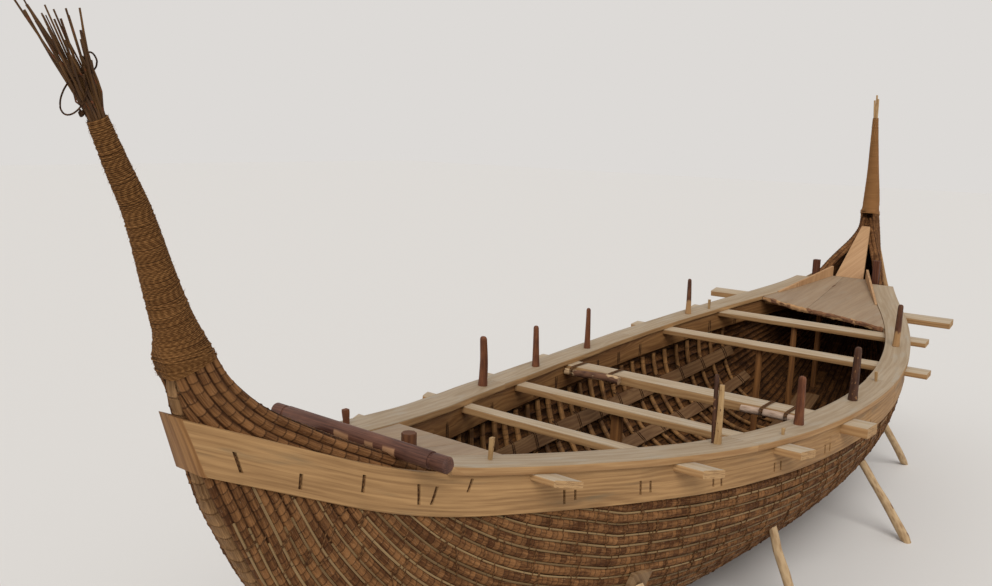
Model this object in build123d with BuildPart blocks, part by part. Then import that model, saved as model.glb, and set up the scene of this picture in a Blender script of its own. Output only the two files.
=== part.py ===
"""Sewn reed boat on its keel blocks and props.

Millimetres. +X points to the bow, +Y to port, +Z up. The origin is on the floor, midway
between the two ends. The hull is a wall of reed bundles with a fat keel bundle, gathered
at both ends into tall bound stems. A wale plank outside and an inwale plank inside clamp the
top of the reeds, cap boards cover them, and seven beams cross the hull in notches.
"""
from build123d import *
from math import cos, hypot, radians, sin, sqrt
import os

os.makedirs("parts", exist_ok=True)

# Plan of the planking: outer face of the wale
HALF_BREADTH = 1250
WIDEST_X = 850
AFT_SHOULDER_X = -1534
AFT_ROUND_R = 9092
FORE_SHOULDER_X = 3300
FORE_ROUND_R = 6120
STERN_END_X = -4330
BOW_END_X = 4890
END_HALF_WIDTH = 60

# Sheer: top of the wale, underside of the cap boards
SHEER_Z = 1245
SHEER_LOW_X = 424
SHEER_R = 18044
STERN_SHEER_X = -3000
STERN_SHEER_R = 3192
STERN_STRAIGHT_X = -3700
BOW_SHEER_X = 3500
BOW_SHEER_R = 3000
BOW_STRAIGHT_X = 4300

# Planking
WALE_THICK = 40
WALE_HEIGHT = 210
INWALE_THICK = 30
INWALE_HEIGHT = 190
INWALE_FROM_X = -3000
INWALE_TO_X = 4000
CAP_THICK = 47
CAP_OVERHANG = 25
CAP_WIDTH = 213
DECK_THICK = 40
DECK_GAP = 2

# Reed hull
REED_WALL = 94
BUNDLES = 18
BUNDLE_RIDGE = 0.18
BILGE_FULLNESS = 0.78
REED_TOP_DROP = 80
KEEL_HALF_WIDTH = 60
KEEL_DEPTH = 55
KEEL_PROUD = 22
CORE_GAP = 3

# Inside
RIB_SPACING = 185
RIB_WIDTH = 30
RIB_DEPTH = 36
RIB_FROM_X = -2850
RIB_COUNT = 31
SEAT_GAP = 0.3
STRINGER_THICK = 24
KEELSON_WIDTH = 230
KEELSON_THICK = 40
STANCHION_R = 29
POST_SIDE = 70

# Fittings
THOLE_R = 27
THOLE_TAPER = 2
THOLE_SHANK = 120
THOLE_INSET = 100
THOLE_FIT = 0.3
THOLE_NECK_R = 24
THOLE_NECK = 10
THOLE_SIDES = 10
CROSS_BEAM_LENGTH = 1160
CROSS_BEAM_R = 40
CROSS_BEAM_NECK_R = 34
CROSS_BEAM_X = -3372
CROSS_BEAM_LIFT = 80
STEM_BOARD_THICK = 30
BITT_SIDE = 65
PROP_R = 34
PROP_PAD_SIDE = 170
PROP_PAD_THICK = 25
PAD_GAP = 0.5
BLOCK_LENGTH = 620
BLOCK_WIDTH = 150

# Larger than the boat, for cutting blocks
REACH = 6000

# Hull sections from stern to bow, each in its own leaning plane. Columns: keel point x and z,
# top edge x, rise of the top edge over the sheer, fullness past the wale's inner face at the
# widest point, and the angle through which the section closes (90 open, 180 shut).
SECTIONS = [
    (-4340, 2285, -4160, 300, 31, 172),
    (-4285, 2080, -4075, 208, 9, 165),
    (-4215, 1790, -3920, 126, -5, 150),
    (-4090, 1500, -3700, 86, 1, 130),
    (-3890, 1140, -3355, 36, 12, 112),
    (-3540, 760, -2950, -REED_TOP_DROP, 9, 100),
    (-3000, 430, -2500, -REED_TOP_DROP, 10, 95),
    (-2200, 215, -1900, -REED_TOP_DROP, 10, 92),
    (-1100, 150, -1000, -REED_TOP_DROP, 10, 90),
    (100, 140, 100, -REED_TOP_DROP, 9, 90),
    (1200, 145, 1150, -REED_TOP_DROP, 9, 90),
    (2200, 185, 2000, -REED_TOP_DROP, 12, 91),
    (3000, 360, 2650, -REED_TOP_DROP, 18, 93),
    (3600, 660, 3200, -REED_TOP_DROP, 22, 97),
    (4130, 990, 3800, -REED_TOP_DROP, 25, 103),
    (4540, 1320, 4250, 108, 29, 115),
    (4800, 1640, 4480, 206, 30, 138),
    (4870, 1980, 4560, 308, 8, 158),
    (4738, 2350, 4550, 482, -39, 172),
]

# Beams from stern to bow. Columns: aft edge x, half length there, width, height, and how much
# farther out the fore edge reaches, because the ends are sawn askew
BEAMS = [
    (-2738, 696, 130, 35, 85),
    (-1782, 1027, 130, 47, 70),
    (-885, 1251, 149, 51, 40),
    (12, 1392, 181, 75, 12),
    (1687, 1381, 140, 47, 0),
    (2537, 1168, 140, 47, 0),
    (3198, 1227, 150, 60, 0),
]

# Cap boards from stern to bow. Columns: name, aft end x, fore end x
CAPS = [
    ("aft", -3200, -1100),
    ("mid", -1100, 1150),
    ("fore", 1150, 3882),
]

# Bound stems above the hull. Columns: centre x, centre z, half depth fore and aft, half width
STERN_STEM = [
    (-4334, 2560, 66, 62),
    (-4412, 2830, 50, 50),
    (-4486, 3010, 42, 42),
    (-4548, 3165, 34, 34),
]
BOW_STEM = [
    (4652, 2500, 78, 78),
    (4605, 2810, 58, 60),
    (4535, 3170, 38, 40),
    (4492, 3412, 27, 28),
]

# Loose reed ends over the binding. Columns: lean along X, lean along Y, length, radius
STERN_REEDS = [
    (-0.70, 0.05, 508, 8),
    (-0.52, -0.14, 430, 7),
    (-0.44, 0.12, 450, 7),
    (-0.34, -0.03, 390, 7),
    (-0.22, 0.16, 330, 6),
    (-0.18, -0.18, 360, 6),
]
BOW_REEDS = [
    (-0.20, 0.02, 200, 9),
    (-0.10, -0.10, 150, 8),
    (-0.26, 0.12, 130, 7),
]

THOLE_XS = [-1310, -413, 484, 2183]
THOLE_HEIGHTS = [420, 330, 400, 375]

# Short pegs on the caps. Columns: x, y, half thickness, height
CAP_PEGS = [
    (-3040, 420, 24, 80),
    (-2881, -414, 14, 110),
    (-744, -1080, 14, 42),
    (1110, -1136, 14, 74),
    (2449, 900, 14, 95),
]
STERN_POST_X = -3090
STERN_POST_Y = -75
STERN_POST_R = 38
STERN_POST_HEIGHT = 78

# Posts under the beams. Columns: beam index, y, squared timber
STANCHIONS = [(2, 72, True), (4, 65, False), (5, 50, False), (6, 27, False)]

# Stringers on the ribs. Columns: facet of the inner wall counted from the keel, shares of it
STRINGERS = [(2, 0.15, 0.55), (3, 0.40, 0.80)]

BLOCK_XS = [-1700, -450, 800, 2000]

# Props on one side. Columns: foot x, foot y, place among the sections, bundle, with a pad
PROPS = [
    (-2150, -1400, 7.13, 10, True),
    (-440, -1170, 8.48, 11, False),
    (1263, -1461, 10.1, 11, False),
    (3139, -985, 11.7, 9, False),
]


def half_breadth(x):
    """Outer face of the wale in plan."""
    aft_y = HALF_BREADTH - AFT_ROUND_R + sqrt(AFT_ROUND_R**2 - (AFT_SHOULDER_X - WIDEST_X) ** 2)
    fore_y = HALF_BREADTH - FORE_ROUND_R + sqrt(FORE_ROUND_R**2 - (FORE_SHOULDER_X - WIDEST_X) ** 2)
    if x < AFT_SHOULDER_X:
        share = (x - STERN_END_X) / (AFT_SHOULDER_X - STERN_END_X)
        return END_HALF_WIDTH + share * (aft_y - END_HALF_WIDTH)
    if x > FORE_SHOULDER_X:
        share = (BOW_END_X - x) / (BOW_END_X - FORE_SHOULDER_X)
        return END_HALF_WIDTH + share * (fore_y - END_HALF_WIDTH)
    radius = AFT_ROUND_R if x < WIDEST_X else FORE_ROUND_R
    return HALF_BREADTH - radius + sqrt(radius**2 - (x - WIDEST_X) ** 2)


def main_sheer(x):
    """The long arc of the sheer, which the decks follow all the way."""
    return SHEER_Z + SHEER_R - sqrt(SHEER_R**2 - (x - SHEER_LOW_X) ** 2)


def sheer(x):
    """Top of the wale: the long arc, a tighter arc at each end, then straight."""
    if STERN_SHEER_X <= x <= BOW_SHEER_X:
        return main_sheer(x)
    if x < STERN_SHEER_X:
        start, radius, straight = STERN_SHEER_X, STERN_SHEER_R, STERN_STRAIGHT_X
    else:
        start, radius, straight = BOW_SHEER_X, BOW_SHEER_R, BOW_STRAIGHT_X
    sine = abs(start - SHEER_LOW_X) / SHEER_R
    bend = min(abs(x - start), abs(straight - start))
    rise = sqrt(1 - sine**2) - sqrt(1 - (sine + bend / radius) ** 2)
    end_sine = sine + bend / radius
    beyond = abs(x - start) - bend
    return main_sheer(start) + radius * rise + beyond * end_sine / sqrt(1 - end_sine**2)


def plan_area(inset):
    """Sketch of the planking's plan, inset by a distance, both sides."""
    shoulder = (AFT_SHOULDER_X, half_breadth(AFT_SHOULDER_X))
    aft_mid = (AFT_SHOULDER_X + WIDEST_X) / 2
    fore_mid = (FORE_SHOULDER_X + WIDEST_X) / 2
    widest = (WIDEST_X, HALF_BREADTH)
    fore_end = (FORE_SHOULDER_X, half_breadth(FORE_SHOULDER_X))
    with BuildSketch() as area:
        with BuildLine():
            Polyline((STERN_END_X, 0), (STERN_END_X, END_HALF_WIDTH), shoulder)
            ThreePointArc(shoulder, (aft_mid, half_breadth(aft_mid)), widest)
            ThreePointArc(widest, (fore_mid, half_breadth(fore_mid)), fore_end)
            Polyline(fore_end, (BOW_END_X, END_HALF_WIDTH), (BOW_END_X, 0))
            mirror(about=Plane.XZ)
        make_face()
        if inset:
            offset(amount=-inset, kind=Kind.INTERSECTION)
    return area.sketch


def sheer_strip(low, high, x_from, x_to, curve=sheer):
    """Profile face between two heights over the sheer, on the centre plane."""
    knots = [STERN_STRAIGHT_X, STERN_SHEER_X, BOW_SHEER_X, BOW_STRAIGHT_X]
    if curve is main_sheer:
        knots = []
    xs = [x_from] + [x for x in knots if x_from < x < x_to] + [x_to]
    with BuildSketch(Plane.XZ) as strip:
        with BuildLine():
            for lift in (low, high):
                for a, b in zip(xs, xs[1:]):
                    middle = (a + b) / 2
                    start = (a, curve(a) + lift)
                    end = (b, curve(b) + lift)
                    straight = curve is sheer and (b <= STERN_STRAIGHT_X or a >= BOW_STRAIGHT_X)
                    if straight:
                        Line(start, end)
                    else:
                        ThreePointArc(start, (middle, curve(middle) + lift), end)
            Line((x_from, curve(x_from) + low), (x_from, curve(x_from) + high))
            Line((x_to, curve(x_to) + low), (x_to, curve(x_to) + high))
        make_face()
    return strip.sketch


def plank(x_from, x_to, outer_inset, inner_inset, low, high, curve=sheer):
    """Starboard plank that follows the plan and the sheer."""
    with BuildPart() as board:
        with BuildSketch():
            add(plan_area(outer_inset))
            if inner_inset is not None:
                add(plan_area(inner_inset), mode=Mode.SUBTRACT)
            with Locations(((x_from + x_to) / 2, 0)):
                Rectangle(x_to - x_from, 2 * REACH, mode=Mode.INTERSECT)
            if inner_inset is not None:
                with Locations((0, -REACH / 2)):
                    Rectangle(3 * REACH, REACH, mode=Mode.INTERSECT)
        extrude(amount=REACH)
        with BuildSketch(Plane.XZ):
            add(sheer_strip(low, high, x_from, x_to, curve))
        extrude(amount=REACH, both=True, mode=Mode.INTERSECT)
    return board.part


def largest(shape):
    """The main solid of a cut, without stray slivers."""
    return Part(shape.solids().sort_by(SortBy.VOLUME)[-1].wrapped)


def write(shape, name):
    """Label one node and write its file."""
    shape.label = name
    export_step(shape, f"parts/{name}.step")


def write_pair(starboard, name):
    """A starboard node and its mirror image to port."""
    write(starboard, f"{name}_starboard")
    write(mirror(starboard, about=Plane.XZ), f"{name}_port")


# Reed hull

def section_frame(row):
    """Leaning plane of a hull section: local x to starboard, local y from keel to top edge."""
    keel_x, keel_z, top_x, rise = row[:4]
    up = Vector(top_x - keel_x, 0, sheer(top_x) + rise - keel_z)
    starboard = Vector(0, -1, 0)
    return Plane(origin=(keel_x, 0, keel_z), x_dir=starboard, z_dir=starboard.cross(up)), up.length


def section_sizes(row):
    """Depth, half breadth, closing angle, keel half width and keel depth of a section."""
    keel_x, keel_z, top_x, rise, fullness, closing = row
    closing = radians(closing)
    depth = section_frame(row)[1]
    widest_share = min(1, 1 / (1 - cos(closing)))
    widest_x = keel_x + widest_share * (top_x - keel_x)
    breadth = half_breadth(widest_x) - WALE_THICK + fullness
    keel_half = min(KEEL_HALF_WIDTH, 0.45 * breadth)
    return depth, breadth, closing, keel_half, min(KEEL_DEPTH, 0.3 * depth)


def reed_top(x):
    """Height of the reeds' top edge, straight between the sections."""
    for a, b in zip(SECTIONS, SECTIONS[1:]):
        if a[2] <= x < b[2]:
            low, high = sheer(a[2]) + a[3], sheer(b[2]) + b[3]
            return low + (high - low) * (x - a[2]) / (b[2] - a[2])
    return sheer(x)


def girth_points(row, count):
    """Evenly spaced points up the outer curve, each with its outward normal."""
    depth, breadth, closing, keel_half, _ = section_sizes(row)
    steps = 200
    fine = []
    for step in range(steps + 1):
        angle = closing * step / steps
        width = keel_half + (breadth - keel_half) * abs(sin(angle)) ** BILGE_FULLNESS
        fine.append((width, depth * (1 - cos(angle)) / (1 - cos(closing))))
    run = [0]
    for (x0, y0), (x1, y1) in zip(fine, fine[1:]):
        run.append(run[-1] + hypot(x1 - x0, y1 - y0))
    points = []
    step = 0
    for index in range(count + 1):
        wanted = run[-1] * index / count
        while step < steps - 1 and run[step + 1] < wanted:
            step += 1
        (x0, y0), (x1, y1) = fine[step], fine[step + 1]
        span = run[step + 1] - run[step]
        share = (wanted - run[step]) / span
        normal = ((y1 - y0) / span, (x0 - x1) / span)
        points.append((x0 + share * (x1 - x0), y0 + share * (y1 - y0), *normal))
    return points, run[-1]


INNER_FACETS = 5


def inner_points(row):
    """Inner face of the reed wall, from the top edge down to the keel line."""
    depth, _, _, _, keel_depth = section_sizes(row)
    outer, _ = girth_points(row, INNER_FACETS)
    top_x, top_y = outer[-1][:2]
    floor_y = max(REED_WALL, keel_depth + 5)
    shut = top_x < REED_WALL + 10
    points = []
    for index in range(INNER_FACETS):
        x, y, nx, ny = outer[INNER_FACETS - index]
        core = CORE_GAP + 4 * sin(3.14 * (index + 0.5) / INNER_FACETS)
        if shut:
            low = keel_depth + 5
            points.append((core, top_y + (low - top_y) * index / INNER_FACETS))
        elif index == 0:
            points.append((max(x - REED_WALL, core), top_y))
        else:
            points.append((max(x - nx * REED_WALL, core), y - ny * REED_WALL))
    points.append((0, keel_depth + 5 if shut else floor_y))
    return points


def hull_outline(row):
    """Starboard half section of the reed wall, one low ridge for each bundle."""
    outer, girth = girth_points(row, BUNDLES)
    _, _, _, keel_half, keel_depth = section_sizes(row)
    ridge = BUNDLE_RIDGE * girth / BUNDLES
    outline = [(0, keel_depth), (keel_half, keel_depth), (keel_half, 0)]
    for (x0, y0, nx0, ny0), (x1, y1, nx1, ny1) in zip(outer, outer[1:]):
        for share, nx, ny in ((0.25, nx0, ny0), (0.75, nx1, ny1)):
            outline.append((x0 + share * (x1 - x0) + nx * ridge, y0 + share * (y1 - y0) + ny * ridge))
        outline.append((x1, y1))
    return outline + inner_points(row)


def keel_outline(row):
    """Section of the fat keel bundle, which stands proud of the side bundles."""
    _, _, _, keel_half, keel_depth = section_sizes(row)
    proud = KEEL_PROUD * keel_half / KEEL_HALF_WIDTH
    keel_half -= SEAT_GAP
    keel_depth -= SEAT_GAP
    return [(-keel_half, 0), (-keel_half / 2, -proud), (keel_half / 2, -proud), (keel_half, 0),
            (keel_half, keel_depth), (-keel_half, keel_depth)]


def polygon(row, outline):
    """Closed outline as a face in the plane of a hull section."""
    with BuildSketch(section_frame(row)[0]) as area:
        with BuildLine():
            Polyline(outline, close=True)
        make_face()
    return area.sketch


with BuildPart() as reed_half:
    for section in SECTIONS:
        add(polygon(section, hull_outline(section)))
    loft(ruled=True)

with BuildPart() as keel_blank:
    for section in SECTIONS:
        add(polygon(section, keel_outline(section)))
    loft(ruled=True)


# Stems, bound with rope, and the loose reed ends above them

def stem(row, rows):
    """Tapered post on the shut end of the hull, through ellipses square to its centre line."""
    frame, depth = section_frame(row)
    foot = frame.origin + frame.y_dir * (depth / 2)
    lift = frame.z_dir * SEAT_GAP
    if lift.Z < 0:
        lift = -lift
    foot += lift
    rows = [(foot.X, foot.Z, depth / 2, section_sizes(row)[1])] + rows
    with BuildPart() as post:
        for index, (x, z, half_depth, half_width) in enumerate(rows):
            before = rows[max(index - 1, 0)]
            after = rows[min(index + 1, len(rows) - 1)]
            across = Vector(after[1] - before[1], 0, before[0] - after[0])
            if index == 0:
                across = frame.y_dir
            with BuildSketch(Plane(origin=(x, 0, z), x_dir=across, z_dir=across.cross(Vector(0, 1, 0)))):
                Ellipse(half_depth, half_width)
        loft(ruled=True)
    return post.part


def reed_ends(rows, stem_rows, stub):
    """Short core on top of the stem with a few separate reeds fanning out of it."""
    x, z, depth, _ = stem_rows[-1]
    below = stem_rows[-2]
    along = Vector(x - below[0], 0, z - below[1]).normalized()
    with BuildPart() as tuft:
        with BuildSketch(Plane(origin=(x, 0, z), z_dir=along)):
            Circle(depth * 0.8)
        extrude(amount=stub, taper=2)
        start = Vector(x, 0, z) + along * (stub * 0.7)
        for lean_x, lean_y, length, radius in rows:
            reed = Plane(origin=start, z_dir=Vector(lean_x, lean_y, 1))
            with BuildSketch(reed):
                RegularPolygon(radius, 6)
            extrude(amount=length, taper=0.3)
    return tuft.part


stern_stem = stem(SECTIONS[0], STERN_STEM)
bow_stem = stem(SECTIONS[-1], BOW_STEM)
stern_reeds = reed_ends(STERN_REEDS, STERN_STEM, 170)
bow_reeds = reed_ends(BOW_REEDS, BOW_STEM, 60)

# Straight beams across the hull, tops flush with the sheer, and the notches they lie in

def beam_block(aft_x, half_length, width, skew, low, high):
    """Straight block across the hull between two heights over the sheer at its middle."""
    slope = (sheer(aft_x + width) - sheer(aft_x)) / width
    middle = aft_x + width / 2
    lie = Plane(origin=(middle, 0, sheer(middle)), x_dir=(1, 0, slope), z_dir=(-slope, 0, 1))
    with BuildPart() as block:
        with BuildSketch(lie.offset(low)):
            Polygon(
                (-width / 2, -half_length), (width / 2, -half_length - skew),
                (width / 2, half_length + skew), (-width / 2, half_length))
        extrude(amount=high - low)
    return block.part


beams = [beam_block(x, length, width, skew, -height, 0) for x, length, width, height, skew in BEAMS]
notches = [
    beam_block(x, length, width, skew, -height, CAP_THICK / 2)
    for x, length, width, height, skew in BEAMS
]

# Wale, inwale and caps

INWALE_INSET = WALE_THICK + REED_WALL
wale_blank = plank(STERN_END_X, BOW_END_X, 0, WALE_THICK, -WALE_HEIGHT, 0)
inwale_blank = plank(
    INWALE_FROM_X, INWALE_TO_X, INWALE_INSET, INWALE_INSET + INWALE_THICK, -INWALE_HEIGHT, 0)

with BuildPart() as wale:
    add(wale_blank)
    add(notches, mode=Mode.SUBTRACT)
    with Locations((STERN_END_X + WALE_THICK / 2, 0, 0), (BOW_END_X - WALE_THICK / 2, 0, 0)):
        Box(WALE_THICK, REACH, 2 * REACH, mode=Mode.SUBTRACT)

wale_ends = {}
for name, x in (("stern", STERN_END_X + WALE_THICK / 2), ("bow", BOW_END_X - WALE_THICK / 2)):
    with BuildPart() as end_piece:
        Box(WALE_THICK, 2 * END_HALF_WIDTH, 2 * REACH)
        end_piece.part.position = (x, 0, 0)
        with BuildSketch(Plane.XZ):
            add(sheer_strip(-WALE_HEIGHT, 0, x - WALE_THICK / 2, x + WALE_THICK / 2))
        extrude(amount=REACH, both=True, mode=Mode.INTERSECT)
    wale_ends[name] = end_piece.part

with BuildPart() as inwale:
    add(inwale_blank)
    add(notches, mode=Mode.SUBTRACT)

CAP_INNER_INSET = CAP_WIDTH - CAP_OVERHANG
thole_places = [(x, -(half_breadth(x) - THOLE_INSET), 0) for x in THOLE_XS]

caps = {}
for name, x_from, x_to in CAPS:
    board = plank(x_from, x_to, -CAP_OVERHANG, CAP_INNER_INSET, 0, CAP_THICK)
    with BuildPart() as cap:
        add(board)
        for x, y, _ in thole_places:
            if x_from < x < x_to:
                with Locations((x, y, 0)):
                    Cylinder(THOLE_NECK_R + THOLE_FIT, 2 * REACH, mode=Mode.SUBTRACT)
    caps[name] = cap.part

with BuildPart() as thole_pins:
    for (x, y, _), height in zip(thole_places, THOLE_HEIGHTS):
        foot = max(reed_top(x - THOLE_R), reed_top(x + THOLE_R)) + SEAT_GAP
        neck = sheer(x) + CAP_THICK + THOLE_NECK
        taper = sheer(x) + CAP_THICK + THOLE_SHANK
        with BuildSketch(Plane.XY.offset(foot)):
            with Locations((x, y)):
                RegularPolygon(THOLE_NECK_R, THOLE_SIDES)
        extrude(amount=neck - foot)
        with Locations((x, y, neck)):
            Cylinder(THOLE_R, taper - neck, align=(Align.CENTER, Align.CENTER, Align.MIN))
        with BuildSketch(Plane.XY.offset(taper)):
            with Locations((x, y)):
                RegularPolygon(THOLE_R, THOLE_SIDES)
        extrude(amount=height - THOLE_SHANK, taper=THOLE_TAPER)

# Decks at the two ends

DECK_INSET = CAP_INNER_INSET + DECK_GAP
STERN_DECK_FROM_X = -3600
STERN_DECK_TO_X = -2700
BOW_DECK_FROM_X = 2600
BOW_DECK_TO_X = 4080
BOARD_GAP = 4

stern_boards = plank(
    STERN_DECK_FROM_X, STERN_DECK_TO_X, DECK_INSET, None, 0, DECK_THICK, main_sheer)
bow_boards = plank(BOW_DECK_FROM_X, BOW_DECK_TO_X, DECK_INSET, None, 0, DECK_THICK, main_sheer)

with BuildPart() as stern_deck:
    add(stern_boards)
    with Locations((0, -95, 0), (0, 110, 0)):
        Box(2 * REACH, BOARD_GAP, 2 * REACH, mode=Mode.SUBTRACT)

# The aft edge of the bow deck is the live edge of a wide board: x and y of its points
BOW_DECK_EDGE = [(3140, 620), (2960, 160), (2870, -220), (2785, -480), (2680, -760)]

with BuildPart() as bow_deck:
    add(bow_boards)
    with BuildSketch():
        with BuildLine():
            Polyline(BOW_DECK_EDGE + [(BOW_DECK_FROM_X - 100, -900), (BOW_DECK_FROM_X - 100, 900),
                                      (3140, 900)], close=True)
        make_face()
    extrude(amount=REACH, mode=Mode.SUBTRACT)
    with Locations((0, 60, 0)):
        Box(2 * REACH, BOARD_GAP, 2 * REACH, mode=Mode.SUBTRACT)

# Low boards on edge along the bow deck, rising to the stem board
RAIL_THICK = 22
RAIL_FROM_X = 3330
RAIL_RISE = 110
deck_top = main_sheer(BOW_DECK_TO_X) + DECK_THICK

with BuildPart() as bow_rail:
    with BuildSketch():
        add(plan_area(DECK_INSET))
        add(plan_area(DECK_INSET + RAIL_THICK), mode=Mode.SUBTRACT)
        with Locations(((RAIL_FROM_X + BOW_DECK_TO_X) / 2, -REACH / 2)):
            Rectangle(BOW_DECK_TO_X - RAIL_FROM_X, REACH, mode=Mode.INTERSECT)
    extrude(amount=REACH)
    with BuildSketch(Plane.XZ):
        with BuildLine():
            low = (RAIL_FROM_X, main_sheer(RAIL_FROM_X) + DECK_THICK)
            end = (BOW_DECK_TO_X, deck_top)
            middle_x = (RAIL_FROM_X + BOW_DECK_TO_X) / 2
            ThreePointArc(low, (middle_x, main_sheer(middle_x) + DECK_THICK), end)
            Polyline(end, (BOW_DECK_TO_X, deck_top + RAIL_RISE), (RAIL_FROM_X, low[1] + 12), low)
        make_face()
    extrude(amount=REACH, both=True, mode=Mode.INTERSECT)

# Leaning triangular board that closes the bow up to the stem
STEM_BOARD_FOOT = 150
STEM_BOARD_HEAD = 45
STEM_BOARD_TOP = (4540, 2200)
board_rise = Vector(STEM_BOARD_TOP[0] - BOW_DECK_TO_X, 0, STEM_BOARD_TOP[1] - deck_top)

with BuildPart() as stem_board:
    face_plane = Plane(
        origin=(BOW_DECK_TO_X + SEAT_GAP, 0, deck_top + SEAT_GAP), x_dir=(0, -1, 0),
        z_dir=Vector(0, -1, 0).cross(board_rise))
    with BuildSketch(face_plane):
        with BuildLine():
            Polyline((-STEM_BOARD_FOOT, 0), (STEM_BOARD_FOOT, 0), (STEM_BOARD_HEAD, board_rise.length),
                     (-STEM_BOARD_HEAD, board_rise.length), close=True)
        make_face()
    extrude(amount=-STEM_BOARD_THICK)

# Cross beam at the stern, turned, with a neck near each end
cross_beam_z = sheer(CROSS_BEAM_X) + CROSS_BEAM_LIFT
END_LENGTH = 85
NECK_LENGTH = 18

with BuildPart() as cross_beam:
    half = CROSS_BEAM_LENGTH / 2
    with BuildSketch(Plane.YZ.offset(CROSS_BEAM_X)):
        with BuildLine():
            outline = [(0, 0), (0, CROSS_BEAM_R), (half - END_LENGTH - NECK_LENGTH, CROSS_BEAM_R),
                       (half - END_LENGTH - NECK_LENGTH, CROSS_BEAM_NECK_R),
                       (half - END_LENGTH, CROSS_BEAM_NECK_R), (half - END_LENGTH, CROSS_BEAM_R - 2),
                       (half - 12, CROSS_BEAM_R - 2), (half, CROSS_BEAM_R - 14), (half, 0)]
            Polyline([(y, cross_beam_z + r) for y, r in outline], close=True)
        make_face()
    revolve(axis=Axis((CROSS_BEAM_X, 0, cross_beam_z), (0, 1, 0)))
    mirror(about=Plane.XZ)

# Trim the reeds to the planks that clamp them
hull_cutter = [wale_blank, inwale_blank, wale_ends["stern"], wale_ends["bow"], stem_board.part,
               cross_beam.part, keel_blank.part]
hull_starboard = largest(reed_half.part - hull_cutter)
keel_bundle = largest(
    keel_blank.part - [wale_blank, mirror(wale_blank, about=Plane.XZ), *wale_ends.values()])


# Inside the hull: bent ribs on the reed wall, planks on the ribs

INSIDE = SECTIONS[5:14]
PLANKED = SECTIONS[6:14]
RIB_SEAT = SEAT_GAP
PLANK_SEAT = RIB_SEAT + RIB_DEPTH + SEAT_GAP


def wall_line(row, inset):
    """Inner face of the reed wall moved inward, from the keel line up."""
    wall = inner_points(row)[::-1]
    moved = [(0, wall[0][1] + inset)]
    for index in range(1, len(wall)):
        before = wall[index - 1]
        after = wall[min(index + 1, len(wall) - 1)]
        dx, dy = after[0] - before[0], after[1] - before[1]
        size = hypot(dx, dy)
        moved.append((wall[index][0] - inset * dy / size, wall[index][1] + inset * dx / size))
    return moved


def rib_section(row):
    """Section of the layer that the ribs are cut from, gunwale to gunwale."""
    outer = wall_line(row, RIB_SEAT)
    inner = wall_line(row, RIB_SEAT + RIB_DEPTH)
    port_outer = [(-x, y) for x, y in outer[:0:-1]]
    port_inner = [(-x, y) for x, y in inner[1:]]
    return polygon(row, port_outer + outer + inner[::-1] + port_inner)


with BuildPart() as ribs:
    for section in INSIDE:
        add(rib_section(section))
    loft(ruled=True)
    with BuildSketch(Plane.XZ):
        rib_to_x = RIB_FROM_X + RIB_SPACING * (RIB_COUNT - 1)
        add(sheer_strip(-REACH, -INWALE_HEIGHT - 5, RIB_FROM_X - RIB_WIDTH, rib_to_x + RIB_WIDTH))
        with Locations([(RIB_FROM_X + RIB_SPACING * i, 0) for i in range(RIB_COUNT)]):
            Rectangle(RIB_WIDTH, 4 * REACH, mode=Mode.INTERSECT)
    extrude(amount=REACH, both=True, mode=Mode.INTERSECT)


def stringer_section(row, facet, low, high):
    """Section of a plank on one facet of the ribs, between two shares of the facet."""
    line = wall_line(row, PLANK_SEAT)
    (x0, y0), (x1, y1) = line[facet], line[facet + 1]
    size = hypot(x1 - x0, y1 - y0)
    nx, ny = (y0 - y1) / size * STRINGER_THICK, (x1 - x0) / size * STRINGER_THICK
    a = (x0 + low * (x1 - x0), y0 + low * (y1 - y0))
    b = (x0 + high * (x1 - x0), y0 + high * (y1 - y0))
    return polygon(row, [a, b, (b[0] + nx, b[1] + ny), (a[0] + nx, a[1] + ny)])


stringers = []
for facet, low, high in STRINGERS:
    with BuildPart() as stringer:
        for section in PLANKED[:-1]:
            add(stringer_section(section, facet, low, high))
        loft(ruled=True)
    stringers.append(stringer.part)


def keelson_seat(row):
    """Height of the ribs' inner face under the edge of the keelson."""
    (x0, y0), (x1, y1) = wall_line(row, PLANK_SEAT)[:2]
    return y0 + (y1 - y0) * KEELSON_WIDTH / 2 / (x1 - x0)


with BuildPart() as keelson:
    for section in PLANKED:
        seat = keelson_seat(section)
        half_width = KEELSON_WIDTH / 2
        add(polygon(section, [(-half_width, seat), (half_width, seat),
                              (half_width, seat + KEELSON_THICK), (-half_width, seat + KEELSON_THICK)]))
    loft(ruled=True)


def keelson_top(x):
    """Height of the keelson's upper face."""
    tops = [section_frame(row)[0].from_local_coords(Vector(0, keelson_seat(row) + KEELSON_THICK))
            for row in PLANKED]
    for a, b in zip(tops, tops[1:]):
        if a.X <= x < b.X:
            return a.Z + (b.Z - a.Z) * (x - a.X) / (b.X - a.X) + SEAT_GAP
    return tops[-1].Z


with BuildPart() as stanchions:
    for index, y, square in STANCHIONS:
        aft_x, _, width, height, _ = BEAMS[index]
        x = aft_x + width / 2
        foot = keelson_top(x) - KEELSON_THICK / 2
        with BuildSketch(Plane.XY.offset(foot)):
            with Locations((x, y)):
                if square:
                    Rectangle(POST_SIDE, POST_SIDE)
                else:
                    Circle(STANCHION_R)
        extrude(amount=sheer(x) - height / 2 - foot)
    add(beams + [keelson.part], mode=Mode.SUBTRACT)

# Barked branch and pole lashed along the aft face of the mast beam
BRANCH_R = 38
POLE_R = 32
mast_aft_x, _, mast_width, mast_height, _ = BEAMS[3]
mast_slope = (sheer(mast_aft_x + mast_width) - sheer(mast_aft_x)) / mast_width
mast_face_x = mast_aft_x + mast_slope * mast_height / 2 - SEAT_GAP

with BuildPart() as lashed_branch:
    with Locations(Location((mast_face_x - BRANCH_R, 770, sheer(0) - mast_height / 2), (90, 0, 0))):
        Cylinder(BRANCH_R, 520)

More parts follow.
